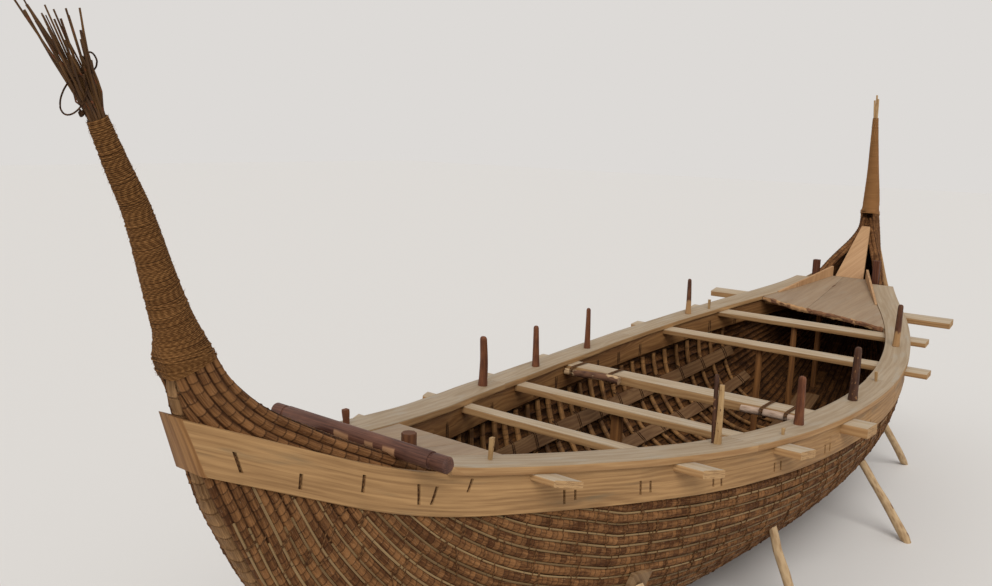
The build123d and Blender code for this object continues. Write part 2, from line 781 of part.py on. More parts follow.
with BuildPart() as lashed_pole:
    with Locations(Location((mast_face_x - POLE_R, -740, sheer(0) - mast_height / 2), (90, 0, 0))):
        Cylinder(POLE_R, 470)

# Posts and pegs on the caps and the deck

def above(height, x_from, x_to, curve=sheer):
    """Space above a height over the sheer, to cut the feet of what stands there."""
    with BuildPart() as space:
        with BuildSketch(Plane.XZ):
            add(sheer_strip(height + SEAT_GAP, REACH, x_from, x_to, curve))
        extrude(amount=REACH, both=True)
    return space.part


over_stern_deck = above(DECK_THICK, STERN_DECK_FROM_X, STERN_DECK_TO_X, main_sheer)
over_caps = above(CAP_THICK, CAPS[0][1], CAPS[-1][2])

with BuildPart() as stern_post:
    with BuildSketch(Plane.XY.offset(main_sheer(STERN_POST_X))):
        with Locations((STERN_POST_X, STERN_POST_Y)):
            RegularPolygon(STERN_POST_R, 8)
    extrude(amount=DECK_THICK + STERN_POST_HEIGHT)
    add(over_stern_deck, mode=Mode.INTERSECT)

with BuildPart() as cap_pegs:
    for x, y, half_side, height in CAP_PEGS:
        with BuildSketch(Plane.XY.offset(sheer(x))):
            with Locations((x, y)):
                Rectangle(2 * half_side, 2 * half_side)
        extrude(amount=CAP_THICK + height, taper=-2)
    add(over_caps, mode=Mode.INTERSECT)

BITT_X = 3930
BITT_HEIGHTS = {"starboard": 280, "port": 225}
over_sheer = above(0, BITT_X - BITT_SIDE, BITT_X + BITT_SIDE)
bitts = {}
for side, sign in (("starboard", -1), ("port", 1)):
    with BuildPart() as bitt:
        with BuildSketch(Plane.XY.offset(sheer(BITT_X) - BITT_SIDE)):
            with Locations((BITT_X, sign * (half_breadth(BITT_X) - INWALE_INSET - INWALE_THICK / 2))):
                Rectangle(BITT_SIDE, BITT_SIDE)
        extrude(amount=BITT_SIDE + BITT_HEIGHTS[side])
        add(over_sheer, mode=Mode.INTERSECT)
    bitts[side] = bitt.part

# Keel blocks and props

def keel_bottom(x):
    """Lowest line of the keel bundle."""
    for a, b in zip(SECTIONS, SECTIONS[1:]):
        if a[0] <= x < b[0]:
            return a[1] + (b[1] - a[1]) * (x - a[0]) / (b[0] - a[0]) - KEEL_PROUD
    return SECTIONS[-1][1]


with BuildPart() as keel_blocks:
    for x in BLOCK_XS:
        top = min(keel_bottom(x - BLOCK_WIDTH / 2), keel_bottom(x + BLOCK_WIDTH / 2))
        with Locations((x, 0, top / 2)):
            Box(BLOCK_WIDTH, BLOCK_LENGTH, top)


def bundle_plane(position, bundle):
    """Plane on the crest of a bundle, facing outward, at a place among the sections."""
    index = int(position)
    share = position - index
    crests = []
    for row in SECTIONS[index:index + 2]:
        outline, frame = hull_outline(row), section_frame(row)[0]
        first = 3 + 3 * bundle
        crests.append([frame.from_local_coords(Vector(*outline[i])) for i in (first, first + 1)])
    (a_low, a_high), (b_low, b_high) = crests
    low = a_low + (b_low - a_low) * share
    high = a_high + (b_high - a_high) * share
    along = (b_low + b_high - a_low - a_high).normalized()
    return Plane(origin=(low + high) * 0.5, x_dir=along, z_dir=along.cross(high - low))


with BuildPart() as prop_pads:
    for foot_x, foot_y, position, bundle, padded in PROPS:
        if padded:
            with BuildSketch(bundle_plane(position, bundle).offset(PAD_GAP)):
                Rectangle(PROP_PAD_SIDE, PROP_PAD_SIDE)
            extrude(amount=PROP_PAD_THICK)

props = []
for foot_x, foot_y, position, bundle, padded in PROPS:
    contact = bundle_plane(position, bundle).offset(PAD_GAP + PROP_PAD_THICK if padded else SEAT_GAP)
    run = contact.origin - Vector(foot_x, foot_y, 0)
    spare = run.normalized() * 4 * PROP_R
    with BuildPart() as prop:
        with BuildSketch(Plane(origin=Vector(foot_x, foot_y, 0) - spare, z_dir=run)):
            RegularPolygon(PROP_R, 12)
        extrude(amount=run.length + 2 * spare.length)
        split(bisect_by=contact, keep=Keep.TOP)
        split(bisect_by=Plane.XY, keep=Keep.TOP)
    props.append(prop.part)

write_pair(hull_starboard, "hull")
write(keel_bundle, "keel_bundle")
write(stern_stem, "stern_stem")
write(bow_stem, "bow_stem")
write(stern_reeds, "stern_reed_ends")
write(bow_reeds, "bow_reed_ends")
write_pair(wale.part, "wale")
write(wale_ends["stern"], "wale_end_stern")
write(wale_ends["bow"], "wale_end_bow")
write_pair(inwale.part, "inwale")
for name, part in caps.items():
    write_pair(part, f"cap_{name}")
for number, part in enumerate(beams, 1):
    write(part, f"beam_{number}")
write(Part(Compound([thole_pins.part, mirror(thole_pins.part, about=Plane.XZ)]).wrapped), "thole_pins")
write(stern_deck.part, "stern_deck")
write(bow_deck.part, "bow_deck")
write_pair(bow_rail.part, "bow_rail")
write(stem_board.part, "stem_board")
write(cross_beam.part, "cross_beam")
write(ribs.part, "ribs")
write_pair(Part(Compound(stringers).wrapped), "stringers")
write(keelson.part, "keelson")
write(stanchions.part, "stanchions")
write(lashed_branch.part, "lashed_branch")
write(lashed_pole.part, "lashed_pole")
write(stern_post.part, "stern_post")
write(cap_pegs.part, "cap_pegs")
write(bitts["starboard"], "bow_bitt_starboard")
write(bitts["port"], "bow_bitt_port")
write(keel_blocks.part, "keel_blocks")
write_pair(Part(Compound(props).wrapped), "props")
write_pair(prop_pads.part, "prop_pads")
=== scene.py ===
"""Looks of the sewn reed boat on its blocks and props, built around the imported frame.

Metres. +X points to the bow, +Y to port, +Z up, with the origin on the floor, as in the CAD part.
The lines of the boat are worked out again here from the same driving sizes, so that every
bundle, plank and rope lies where its CAD solid is.
"""

from math import cos, hypot, pi, radians, sin

import bpy
import numpy as np
from mathutils import Matrix


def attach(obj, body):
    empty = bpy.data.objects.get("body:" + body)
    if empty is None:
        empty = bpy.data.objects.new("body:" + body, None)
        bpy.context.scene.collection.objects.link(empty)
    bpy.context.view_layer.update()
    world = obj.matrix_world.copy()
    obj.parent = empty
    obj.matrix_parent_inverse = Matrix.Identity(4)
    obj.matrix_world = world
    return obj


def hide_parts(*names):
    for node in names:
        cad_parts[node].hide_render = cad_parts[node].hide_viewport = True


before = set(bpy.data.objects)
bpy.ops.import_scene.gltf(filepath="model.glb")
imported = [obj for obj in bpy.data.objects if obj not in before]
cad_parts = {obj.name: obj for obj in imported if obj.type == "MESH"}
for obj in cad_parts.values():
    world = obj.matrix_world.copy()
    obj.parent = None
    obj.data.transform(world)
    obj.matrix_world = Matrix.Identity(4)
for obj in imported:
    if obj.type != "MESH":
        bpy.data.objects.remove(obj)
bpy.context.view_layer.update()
random = np.random.default_rng(11)

STARBOARD = -1
PORT = 1
SIDES = (("starboard", STARBOARD), ("port", PORT))

# Plan of the planking: outer face of the wale
HALF_BREADTH = 1.250
WIDEST_X = 0.850
AFT_SHOULDER_X = -1.534
AFT_ROUND_R = 9.092
FORE_SHOULDER_X = 3.300
FORE_ROUND_R = 6.120
STERN_END_X = -4.330
BOW_END_X = 4.890
END_HALF_WIDTH = 0.060

# Sheer: top of the wale, underside of the cap boards
SHEER_Z = 1.245
SHEER_LOW_X = 0.424
SHEER_R = 18.044
STERN_SHEER_X = -3.000
STERN_SHEER_R = 3.192
STERN_STRAIGHT_X = -3.700
BOW_SHEER_X = 3.500
BOW_SHEER_R = 3.000
BOW_STRAIGHT_X = 4.300

# Planking
WALE_THICK = 0.040
WALE_HEIGHT = 0.210
REED_WALL = 0.094
BOARD_CORNER = 0.006
INWALE_INSET = WALE_THICK + REED_WALL
INWALE_THICK = 0.030
INWALE_HEIGHT = 0.190
INWALE_FROM_X = -3.000
INWALE_TO_X = 4.000
CAP_THICK = 0.047
CAP_OVERHANG = 0.025
CAP_WIDTH = 0.213

# Reed hull
BUNDLE_COUNT = 24
BUNDLE_NARROWEST = 0.043
BUNDLE_NARROWEST_BOW = 0.034
BILGE_FULLNESS = 0.78
KEEL_HALF_WIDTH = 0.060
KEEL_PROUD = 0.022
REED_TOP_DROP = 0.080
RING_SPACING = 0.040
RIB_DEPTH = 0.030
RIB_WIDTH = 0.046
RIB_FROM_X = -2.850
RIB_SPACING = 0.185
RIB_COUNT = 31

# Hull sections from stern to bow, in millimetres as in the CAD part. Columns: keel point x and z,
# top edge x, rise of the top edge over the sheer, fullness past the wale's inner face at the
# widest point, and the angle through which the section closes (90 open, 180 shut)
SECTIONS = [
    (-4340, 2285, -4160, 300, 31, 172),
    (-4285, 2080, -4075, 208, 9, 165),
    (-4215, 1790, -3920, 126, -5, 150),
    (-4090, 1500, -3700, 86, 1, 130),
    (-3890, 1140, -3355, 36, 12, 112),
    (-3540, 760, -2950, -80, 9, 100),
    (-3000, 430, -2500, -80, 10, 95),
    (-2200, 215, -1900, -80, 10, 92),
    (-1100, 150, -1000, -80, 10, 90),
    (100, 140, 100, -80, 9, 90),
    (1200, 145, 1150, -80, 9, 90),
    (2200, 185, 2000, -80, 12, 91),
    (3000, 360, 2650, -80, 18, 93),
    (3600, 660, 3200, -80, 22, 97),
    (4130, 990, 3800, -80, 25, 103),
    (4540, 1320, 4250, 108, 29, 115),
    (4800, 1640, 4480, 206, 30, 138),
    (4870, 1980, 4560, 308, 8, 158),
    (4738, 2350, 4550, 482, -39, 172),
]
SECTION_UNITS = (0.001, 0.001, 0.001, 0.001, 0.001, 1)

# Bound stems above the hull. Columns: centre x and z, half depth fore and aft, half width
STERN_STEM = [
    (-4.334, 2.560, 0.066, 0.062),
    (-4.412, 2.830, 0.050, 0.050),
    (-4.486, 3.010, 0.042, 0.042),
    (-4.548, 3.165, 0.034, 0.034),
]
BOW_STEM = [
    (4.652, 2.500, 0.084, 0.084),
    (4.605, 2.810, 0.058, 0.060),
    (4.535, 3.170, 0.038, 0.040),
    (4.492, 3.412, 0.027, 0.028),
]

# Beams from stern to bow. Columns: aft edge x, half length there, width, height, and how much
# farther out the fore edge reaches
BEAMS = [
    (-2.738, 0.696, 0.130, 0.035, 0.085),
    (-1.782, 1.027, 0.130, 0.047, 0.070),
    (-0.885, 1.251, 0.149, 0.051, 0.040),
    (0.012, 1.392, 0.181, 0.075, 0.012),
    (1.687, 1.381, 0.140, 0.047, 0),
    (2.537, 1.168, 0.140, 0.047, 0),
    (3.198, 1.227, 0.150, 0.060, 0),
]
# Cap boards of one side. Columns: name, aft end x, fore end x
CAPS = [
    ("aft", -3.200, -1.100),
    ("mid", -1.100, 1.150),
    ("fore", 1.150, 3.882),
]


# Lines of the boat

def half_breadth(x):
    """Outer face of the wale in plan."""
    x = np.asarray(x, float)
    aft_x = np.clip(x, AFT_SHOULDER_X, WIDEST_X) - WIDEST_X
    fore_x = np.clip(x, WIDEST_X, FORE_SHOULDER_X) - WIDEST_X
    aft = HALF_BREADTH - AFT_ROUND_R + np.sqrt(AFT_ROUND_R**2 - aft_x**2)
    fore = HALF_BREADTH - FORE_ROUND_R + np.sqrt(FORE_ROUND_R**2 - fore_x**2)
    aft_share = np.minimum((x - STERN_END_X) / (AFT_SHOULDER_X - STERN_END_X), 1)
    fore_share = np.minimum((BOW_END_X - x) / (BOW_END_X - FORE_SHOULDER_X), 1)
    aft = END_HALF_WIDTH + aft_share * (aft - END_HALF_WIDTH)
    fore = END_HALF_WIDTH + fore_share * (fore - END_HALF_WIDTH)
    return np.where(x < WIDEST_X, aft, fore)


def main_sheer(x):
    """The long arc of the sheer, which the decks follow all the way."""
    return SHEER_Z + SHEER_R - np.sqrt(SHEER_R**2 - (np.asarray(x, float) - SHEER_LOW_X) ** 2)


def sheer(x):
    """Top of the wale: the long arc, a tighter arc at each end, then straight."""
    x = np.asarray(x, float)
    aft = x < SHEER_LOW_X
    start = np.where(aft, STERN_SHEER_X, BOW_SHEER_X)
    radius = np.where(aft, STERN_SHEER_R, BOW_SHEER_R)
    straight = np.where(aft, STERN_STRAIGHT_X, BOW_STRAIGHT_X)
    sine = np.abs(start - SHEER_LOW_X) / SHEER_R
    beyond = np.maximum(np.abs(x - SHEER_LOW_X) - np.abs(start - SHEER_LOW_X), 0)
    bend = np.minimum(beyond, np.abs(straight - start))
    end_sine = sine + bend / radius
    rise = np.sqrt(1 - sine**2) - np.sqrt(1 - end_sine**2)
    tail = (beyond - bend) * end_sine / np.sqrt(1 - end_sine**2)
    return main_sheer(np.clip(x, STERN_SHEER_X, BOW_SHEER_X)) + radius * rise + tail


SLOPE_STEP = 0.001


def planking_point(x, inset, lift, side):
    """Point beside the gunwale: so far inside the wale's outer face, so far over the sheer."""
    x, inset, lift = np.broadcast_arrays(np.asarray(x, float), inset, lift)
    slope = (half_breadth(x + SLOPE_STEP) - half_breadth(x - SLOPE_STEP)) / (2 * SLOPE_STEP)
    y = side * (half_breadth(x) - inset * np.sqrt(1 + slope**2))
    return np.stack([x, y, sheer(x) + lift], -1)


# Meshes

# Each element of a piece starts this much farther along u, so that its pattern is its own
ELEMENT_STEP = 16
MOSTLY_UPRIGHT = 0.7


def grid_uv(u, v):
    """UVs of a grid: u changes from row to row and v from column to column."""
    return np.stack(np.broadcast_arrays(np.reshape(u, (-1, 1)), np.reshape(v, (1, -1))), -1)


def rings_at(x, y, z):
    """Rings of points from coordinates, each given by row, by column or by both."""
    return np.stack(np.broadcast_arrays(x, y, z), -1)


def full_turn(sides):
    """Angles of points spaced evenly around a ring."""
    return np.linspace(0, 2 * pi, sides, endpoint=False)


def unit_rows(vectors):
    """Vectors, one a row, brought to a length of 1."""
    return vectors / np.linalg.norm(vectors, axis=1)[:, None]


def round_rings(centres, across, other, reach, angle):
    """Rings around centres, in the plane of two directions."""
    return centres[:, None] + reach * (across[:, None] * np.cos(angle)[:, None]
                                       + other[:, None] * np.sin(angle)[:, None])


class Shell:
    """Faces and UVs of one piece, collected patch by patch."""

    def __init__(self):
        self.points = []
        self.faces = []
        self.uvs = []
        self.finish_of_face = []
        self.count = 0
        self.elements = 0

    def patch(self, points, uv, wrap=False, flip=False, finish=0):
        """Grid of points. Where it wraps around, uv has one column more than the points."""
        rows, columns = points.shape[:2]
        index = np.arange(rows * columns).reshape(rows, columns) + self.count
        if wrap:
            index = np.hstack([index, index[:, :1]])
        corners = [index[:-1, :-1], index[1:, :-1], index[1:, 1:], index[:-1, 1:]]
        quads = np.stack(corners, -1).reshape(-1, 4)
        corner_uvs = np.stack([uv[:-1, :-1], uv[1:, :-1], uv[1:, 1:], uv[:-1, 1:]], 2).reshape(-1, 4, 2)
        if flip:
            quads = quads[:, ::-1]
            corner_uvs = corner_uvs[:, ::-1]
        self.points.append(points.reshape(-1, 3))
        self.faces.append(quads)
        self.uvs.append(corner_uvs)
        self.finish_of_face.append(np.resize(finish, len(quads)))
        self.count += rows * columns

    def lid(self, ring, uv, flip=False, finish=0):
        """Closes the end of a sweep with one face."""
        index = np.arange(len(ring)) + self.count
        if flip:
            index = index[::-1]
            uv = uv[::-1]
        self.points.append(ring)
        self.faces.append(index[None])
        self.uvs.append(uv[None])
        self.finish_of_face.append(np.array([finish]))
        self.count += len(ring)

    def sweep(self, rings, along=None, lids=True, flip=False, finish=0, end_finish=0):
        """Closed rings of points, one after another, with a face over each end."""
        if along is None:
            steps = np.linalg.norm(np.diff(rings.mean(1), axis=0), axis=1)
            along = np.concatenate([[0], np.cumsum(steps)])
        around = np.linalg.norm(np.roll(rings, -1, axis=1) - rings, axis=2).mean(0)
        around = np.concatenate([[0], np.cumsum(around)])
        start = self.elements * ELEMENT_STEP
        self.elements += 1
        self.patch(rings, grid_uv(along + start, around), wrap=True, flip=flip, finish=finish)
        if lids:
            for ring, turned in ((rings[0], flip), (rings[-1], not flip)):
                across = ring - ring.mean(0)
                axis = np.linalg.svd(across)[2]
                flat = across @ axis[:2].T + (start, 0)
                self.lid(ring, flat, flip=not turned, finish=end_finish)

    def tube(self, path, radius, sides=6, lids=True, finish=0, end_finish=0):
        """Round bar, rope or reed along a path."""
        path = np.asarray(path, float)
        tangent = unit_rows(np.gradient(path, axis=0))
        guide = np.array([0.0, 0.0, 1.0])
        if abs(tangent[:, 2]).mean() > MOSTLY_UPRIGHT:
            guide = np.array([1.0, 0.0, 0.0])
        across = np.cross(tangent, guide)
        across /= np.linalg.norm(across, axis=1)[:, None] + 1e-9
        radius = np.broadcast_to(radius, len(path))[:, None, None]
        rings = round_rings(path, across, np.cross(across, tangent), radius, full_turn(sides))
        self.sweep(rings, lids=lids, finish=finish, end_finish=end_finish, flip=True)

    def piece(self, name, slot, *finishes, replaces=(), crease=40):
        """Makes the object, with smooth faces and edges kept sharp past an angle."""
        mesh = bpy.data.meshes.new(name)
        points = np.concatenate(self.points)
        sizes = np.concatenate([np.full(len(faces), faces.shape[1]) for faces in self.faces])
        corners = np.concatenate([faces.ravel() for faces in self.faces])
        mesh.vertices.add(len(points))
        mesh.vertices.foreach_set("co", points.ravel())
        mesh.loops.add(len(corners))
        mesh.loops.foreach_set("vertex_index", corners)
        mesh.polygons.add(len(sizes))
        mesh.polygons.foreach_set("loop_start", np.concatenate([[0], np.cumsum(sizes)[:-1]]))
        mesh.polygons.foreach_set("material_index", np.concatenate(self.finish_of_face))
        mesh.update(calc_edges=True)
        layer = mesh.uv_layers.new(name="UVMap")
        layer.data.foreach_set("uv", np.concatenate([uv.ravel() for uv in self.uvs]))
        mesh.polygons.foreach_set("use_smooth", np.ones(len(sizes), bool))
        mesh.set_sharp_from_angle(angle=radians(crease))
        mesh.validate()
        for finish in finishes:
            mesh.materials.append(finish)
        made = bpy.data.objects.new(name, mesh)
        bpy.context.scene.collection.objects.link(made)
        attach(made, "root")
        if replaces:
            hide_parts(*replaces)
        return made


def rounded_box(width, height, corner, parts=1):
    """Outline of a bar with eased corners, each side divided into parts."""
    w, h = width / 2, height / 2
    points = []
    for sx, sy, first in ((1, 1, 0), (-1, 1, 90), (-1, -1, 180), (1, -1, 270)):
        centre = np.array([sx * (w - corner), sy * (h - corner)])
        for angle in (first, first + 45, first + 90):
            points.append(centre + corner * np.array([cos(radians(angle)), sin(radians(angle))]))
        following = {0: (-w + corner, h), 90: (-w, -h + corner), 180: (w - corner, -h), 270: (w, h - corner)}
        last = points[-1]
        for part in range(1, parts):
            points.append(last + (np.array(following[first]) - last) * part / parts)
    return np.array(points)


def drift(count, reach, amount, columns=None):
    """Slow random wandering along a run of points, for hand-made lines."""
    knots = max(3, int(count / reach) + 2)
    shape = (knots,) if columns is None else (knots, columns)
    values = random.normal(0, amount, shape)
    places = np.linspace(0, knots - 1, count)
    if columns is None:
        return np.interp(places, np.arange(knots), values)
    return np.stack([np.interp(places, np.arange(knots), values[:, c]) for c in range(columns)], -1)


def curve_through(points, steps):
    """Smooth path through a few points."""
    points = np.asarray(points, float)
    place = np.linspace(0, len(points) - 1, steps)
    return smooth_rows(points, place)


def smooth_rows(table, place):
    """Rows of a table at fractional places, on a smooth curve through the rows."""
    last = len(table) - 1
    index = np.clip(np.floor(place).astype(int), 0, last - 1)
    share = (place - index)[:, None]
    a, b = table[index], table[index + 1]
    leave = (b - table[np.maximum(index - 1, 0)]) / 2
    arrive = (table[np.minimum(index + 2, last)] - a) / 2
    s2, s3 = share**2, share**3
    return ((2 * s3 - 3 * s2 + 1) * a + (s3 - 2 * s2 + share) * leave
            + (3 * s2 - 2 * s3) * b + (s3 - s2) * arrive)


def eased(share):
    """Share from 0 to 1 that starts and stops softly."""
    return share**2 * (3 - 2 * share)


# Reed hull

SECTION_STEPS = 201
SKIN_SAMPLES = 1400
SKIN_COLUMNS = 121
KEEL_SHARE_OF_BREADTH = 0.45


def girth(row, shares):
    """Points up the outer side of a section, outward normals, its girth and its keel's half width."""
    keel_x, keel_z, top_x, rise, fullness, closing = row
    closing = radians(closing)
    up = np.array([top_x - keel_x, 0, sheer(top_x) + rise - keel_z])
    depth = np.linalg.norm(up)
    up /= depth
    widest_x = keel_x + min(1, 1 / (1 - cos(closing))) * (top_x - keel_x)
    breadth = float(half_breadth(widest_x)) - WALE_THICK + fullness
    keel_half = min(KEEL_HALF_WIDTH, KEEL_SHARE_OF_BREADTH * breadth)
    angle = np.linspace(0, closing, SECTION_STEPS)
    width = keel_half + (breadth - keel_half) * np.abs(np.sin(angle)) ** BILGE_FULLNESS
    height = depth * (1 - np.cos(angle)) / (1 - cos(closing))
    run = np.concatenate([[0], np.cumsum(np.hypot(np.diff(width), np.diff(height)))])
    wanted = run[-1] * np.asarray(shares)
    x = np.interp(wanted, run, width)
    y = np.interp(wanted, run, height)
    dx = np.interp(wanted, run, np.gradient(width, run))
    dy = np.interp(wanted, run, np.gradient(height, run))
    size = np.hypot(dx, dy)
    outward = np.array([0.0, -1.0, 0.0])
    foot = np.array([keel_x, 0, keel_z])
    points = foot + x[:, None] * outward + y[:, None] * up
    normals = (dy / size)[:, None] * outward + (-dx / size)[:, None] * up
    return points, normals, run[-1], keel_half


class HullSkin:
    """Outer side of the starboard reed wall, sampled finely from stern to bow."""

    def __init__(self):
        table = np.array(SECTIONS, float) * SECTION_UNITS
        fine = smooth_rows(table, np.linspace(0, len(table) - 1, 4 * SKIN_SAMPLES))
        keel = fine[:, [0, 1]]
        top = np.stack([fine[:, 2], sheer(fine[:, 2]) + fine[:, 3]], -1)
        middle = (keel + top) / 2
        run = np.concatenate([[0], np.cumsum(np.linalg.norm(np.diff(middle, axis=0), axis=1))])
        self.length = run[-1]
        self.along = np.linspace(0, self.length, SKIN_SAMPLES)
        places = np.interp(self.along, run, np.linspace(0, len(table) - 1, len(run)))
        self.rows = smooth_rows(table, places)
        self.rows[:, 3] = np.maximum(self.rows[:, 3], -REED_TOP_DROP)
        self.shares = np.linspace(0, 1, SKIN_COLUMNS)
        points, normals, girths, keel_halves = zip(*(girth(row, self.shares) for row in self.rows))
        self.points = np.stack(points)
        self.normals = np.stack(normals)
        self.girth = np.array(girths)
        self.keel_half = np.array(keel_halves)

    def between(self, values, along):
        """Values of the samples at distances along."""
        place = np.clip(np.asarray(along) / self.length, 0, 1) * (len(self.along) - 1)
        index = np.minimum(place.astype(int), len(self.along) - 2)
        share = place - index
        share = share.reshape(share.shape + (1,) * (values.ndim - 1))
        return values[index] * (1 - share) + values[index + 1] * share

    def at(self, along, share):
        """Point, outward normal and girth at distances along and shares of the girth."""
        along, share = np.broadcast_arrays(np.asarray(along, float), share)
        column = np.clip(share, 0, 1) * (len(self.shares) - 1)
        low = np.minimum(column.astype(int), len(self.shares) - 2)
        part = (column - low)[..., None]
        place = np.clip(along / self.length, 0, 1) * (len(self.along) - 1)
        index = np.minimum(place.astype(int), len(self.along) - 2)
        run = (place - index)[..., None]

        def pick(values):
            """Values at the places, from the four samples around each."""
            a = values[index, low] * (1 - part) + values[index, low + 1] * part
            b = values[index + 1, low] * (1 - part) + values[index + 1, low + 1] * part
            return a * (1 - run) + b * run

        return pick(self.points), pick(self.normals), self.between(self.girth, along)


skin = HullSkin()


CROWN_RISE = 0.34
CROWN_SINK = 0.10
CROWN_ROUND = 0.7


def crown(share):
    """How far a bundle stands proud across its width, as a share of that width."""
    return CROWN_RISE * np.sin(pi * np.clip(share, 0, 1)) ** CROWN_ROUND - CROWN_SINK


def mirrored(points, side):
    """Points of the starboard side, on the side that is wanted."""
    return points * (1, -side, 1)


def share_under_wale(along):
    """Share of the girth at which the hull passes behind the middle of the wale."""
    over_wale = skin.points[..., 2] - sheer(skin.points[..., 0]) + WALE_HEIGHT / 2
    found = np.array([np.interp(0, row, skin.shares) for row in over_wale])
    return np.interp(along, skin.along, found)


THICKENS_FROM = 0.3
THICKENS_OVER = 2.4
THICKENS_BY = 0.019


def bundle_share(along):
    """Share of the girth that one bundle takes; bundles thin less than the hull does."""
    from_stern = np.clip((along - THICKENS_FROM) / THICKENS_OVER, 0, 1)
    width = BUNDLE_NARROWEST + THICKENS_BY * eased(from_stern)
    width = np.where(along < skin.length / 2, width, BUNDLE_NARROWEST_BOW)
    return np.maximum(1 / BUNDLE_COUNT, width / skin.between(skin.girth, along))


def edge_share(along, edge):
    """Share of the girth at an edge between bundles, counted down from the top of the wall.

    Aft the bundles run along the keel and end under the wale. Forward they run along the wale
    and end at the keel.
    """
    from_keel = (BUNDLE_COUNT - edge) * bundle_share(along)
    return np.where(along < skin.length / 2, from_keel, 1 - edge * bundle_share(along))


def bundle_width(along):
    """Width of one bundle across the girth, in metres."""
    return bundle_share(along) * skin.between(skin.girth, along)


# Places across a bundle where its skin has points, as shares of its width
BUNDLE_SHARES = np.array([0, 0.12, 0.35, 0.65, 0.88, 1])
# Each rope ring: places along, in ring spacings, and how far the skin stands out there
RING_STEPS = np.array([-0.13, 0, 0.13])
RING_LIFTS = np.array([-0.0008, 0.0020, -0.0008])
RINGS_UNEVEN = 0.08
SWELL_UNEVEN = 0.0009
LEAST_SHARE = 0.2 / BUNDLE_COUNT
BEHIND_WALE = 0.02
GATHER_RING_SPACING = 0.058
GATHER_REACH = 1.7
GATHERED_BUNDLES = 14
# Numbers set the bundles' tones: every family of bundles starts at one of its own
GATHER_NUMBER = 30
LINING_NUMBER = 40
TOP_EDGE_NUMBER = 70
KEEL_NUMBER = 90
EDGE_NUMBER = 100


def below_wale(bundle, along):
    """Shares of the girth at the upper and lower edge of a bundle that runs under the wale."""
    highest = np.where(along < skin.length / 2, np.minimum(share_under_wale(along) + BEHIND_WALE, 1), 1)
    upper = np.minimum(edge_share(along, bundle), highest)
    return upper, np.clip(edge_share(along, bundle + 1), 0, 1)


def over_wale(bundle, along):
    """The same for a bundle over the stern's wale, which follows the wall's top edge."""
    unit = BUNDLE_NARROWEST / skin.between(skin.girth, along)
    lowest = np.maximum(share_under_wale(along) - BEHIND_WALE, 0)
    return 1 - bundle * unit, np.maximum(1 - (bundle + 1) * unit, lowest)


def bundle_patch(shell, side, bundle, edges, spacing, reach, first_number=0):
    """One bundle with its rope rings, as far as its edges leave it any width."""
    ring = np.arange(1, int(reach / spacing))
    place = ring + random.uniform(0, 1) + random.normal(0, RINGS_UNEVEN, len(ring))
    along = np.concatenate([[0], (place[:, None] + RING_STEPS).ravel() * spacing, [reach]])
    along = np.clip(along, 0, reach)
    marks = np.concatenate([[0.4], (ring[:, None] + RING_STEPS).ravel(), [len(ring) + 1.4]])
    swell = (RING_LIFTS + random.normal(0, SWELL_UNEVEN, (len(ring), 3))).ravel()
    swell = np.concatenate([[0], swell, [0]])
    upper, lower = edges(bundle, along)
    whole = upper - lower > LEAST_SHARE
    if whole.sum() < 3:
        return
    along, marks, swell, upper, lower = (row[whole][:, None] for row in (along, marks, swell, upper, lower))
    points, normals, length_round = skin.at(along, lower + (upper - lower) * BUNDLE_SHARES)
    width = (upper - lower) * length_round
    raised = crown(BUNDLE_SHARES) * width + swell * np.sin(pi * BUNDLE_SHARES) ** 0.5
    uv = grid_uv(marks, first_number + bundle + BUNDLE_SHARES)
    shell.patch(mirrored(points + normals * raised[..., None], side), uv, flip=side == PORT)


def reed_wall(side_name, side):
    """Outer bundles of one side: one family under the wale, one over it at the stern."""
    shell = Shell()
    for bundle in range(BUNDLE_COUNT):
        bundle_patch(shell, side, bundle, below_wale, RING_SPACING, skin.length)
    for bundle in range(GATHERED_BUNDLES):
        bundle_patch(shell, side, bundle, over_wale, GATHER_RING_SPACING, GATHER_REACH, GATHER_NUMBER)
    return shell.piece(f"reed_wall_{side_name}", "reed_bundle", reeds, replaces=[f"hull_{side_name}"],
                       crease=60)


EDGE_BUNDLE_R = 0.026
EDGE_BUNDLE_INSETS = (0.022, 0.066)
EDGE_BUNDLE_DROP = 0.016
EDGE_BUNDLE_SIDES = 12
EDGE_SWELL_UNEVEN = 0.0006
# Where they lie along the hull: at the stern and at the bow
EDGE_RUNS = ((0.02, 1.30), (skin.length - 1.45, skin.length - 0.02))


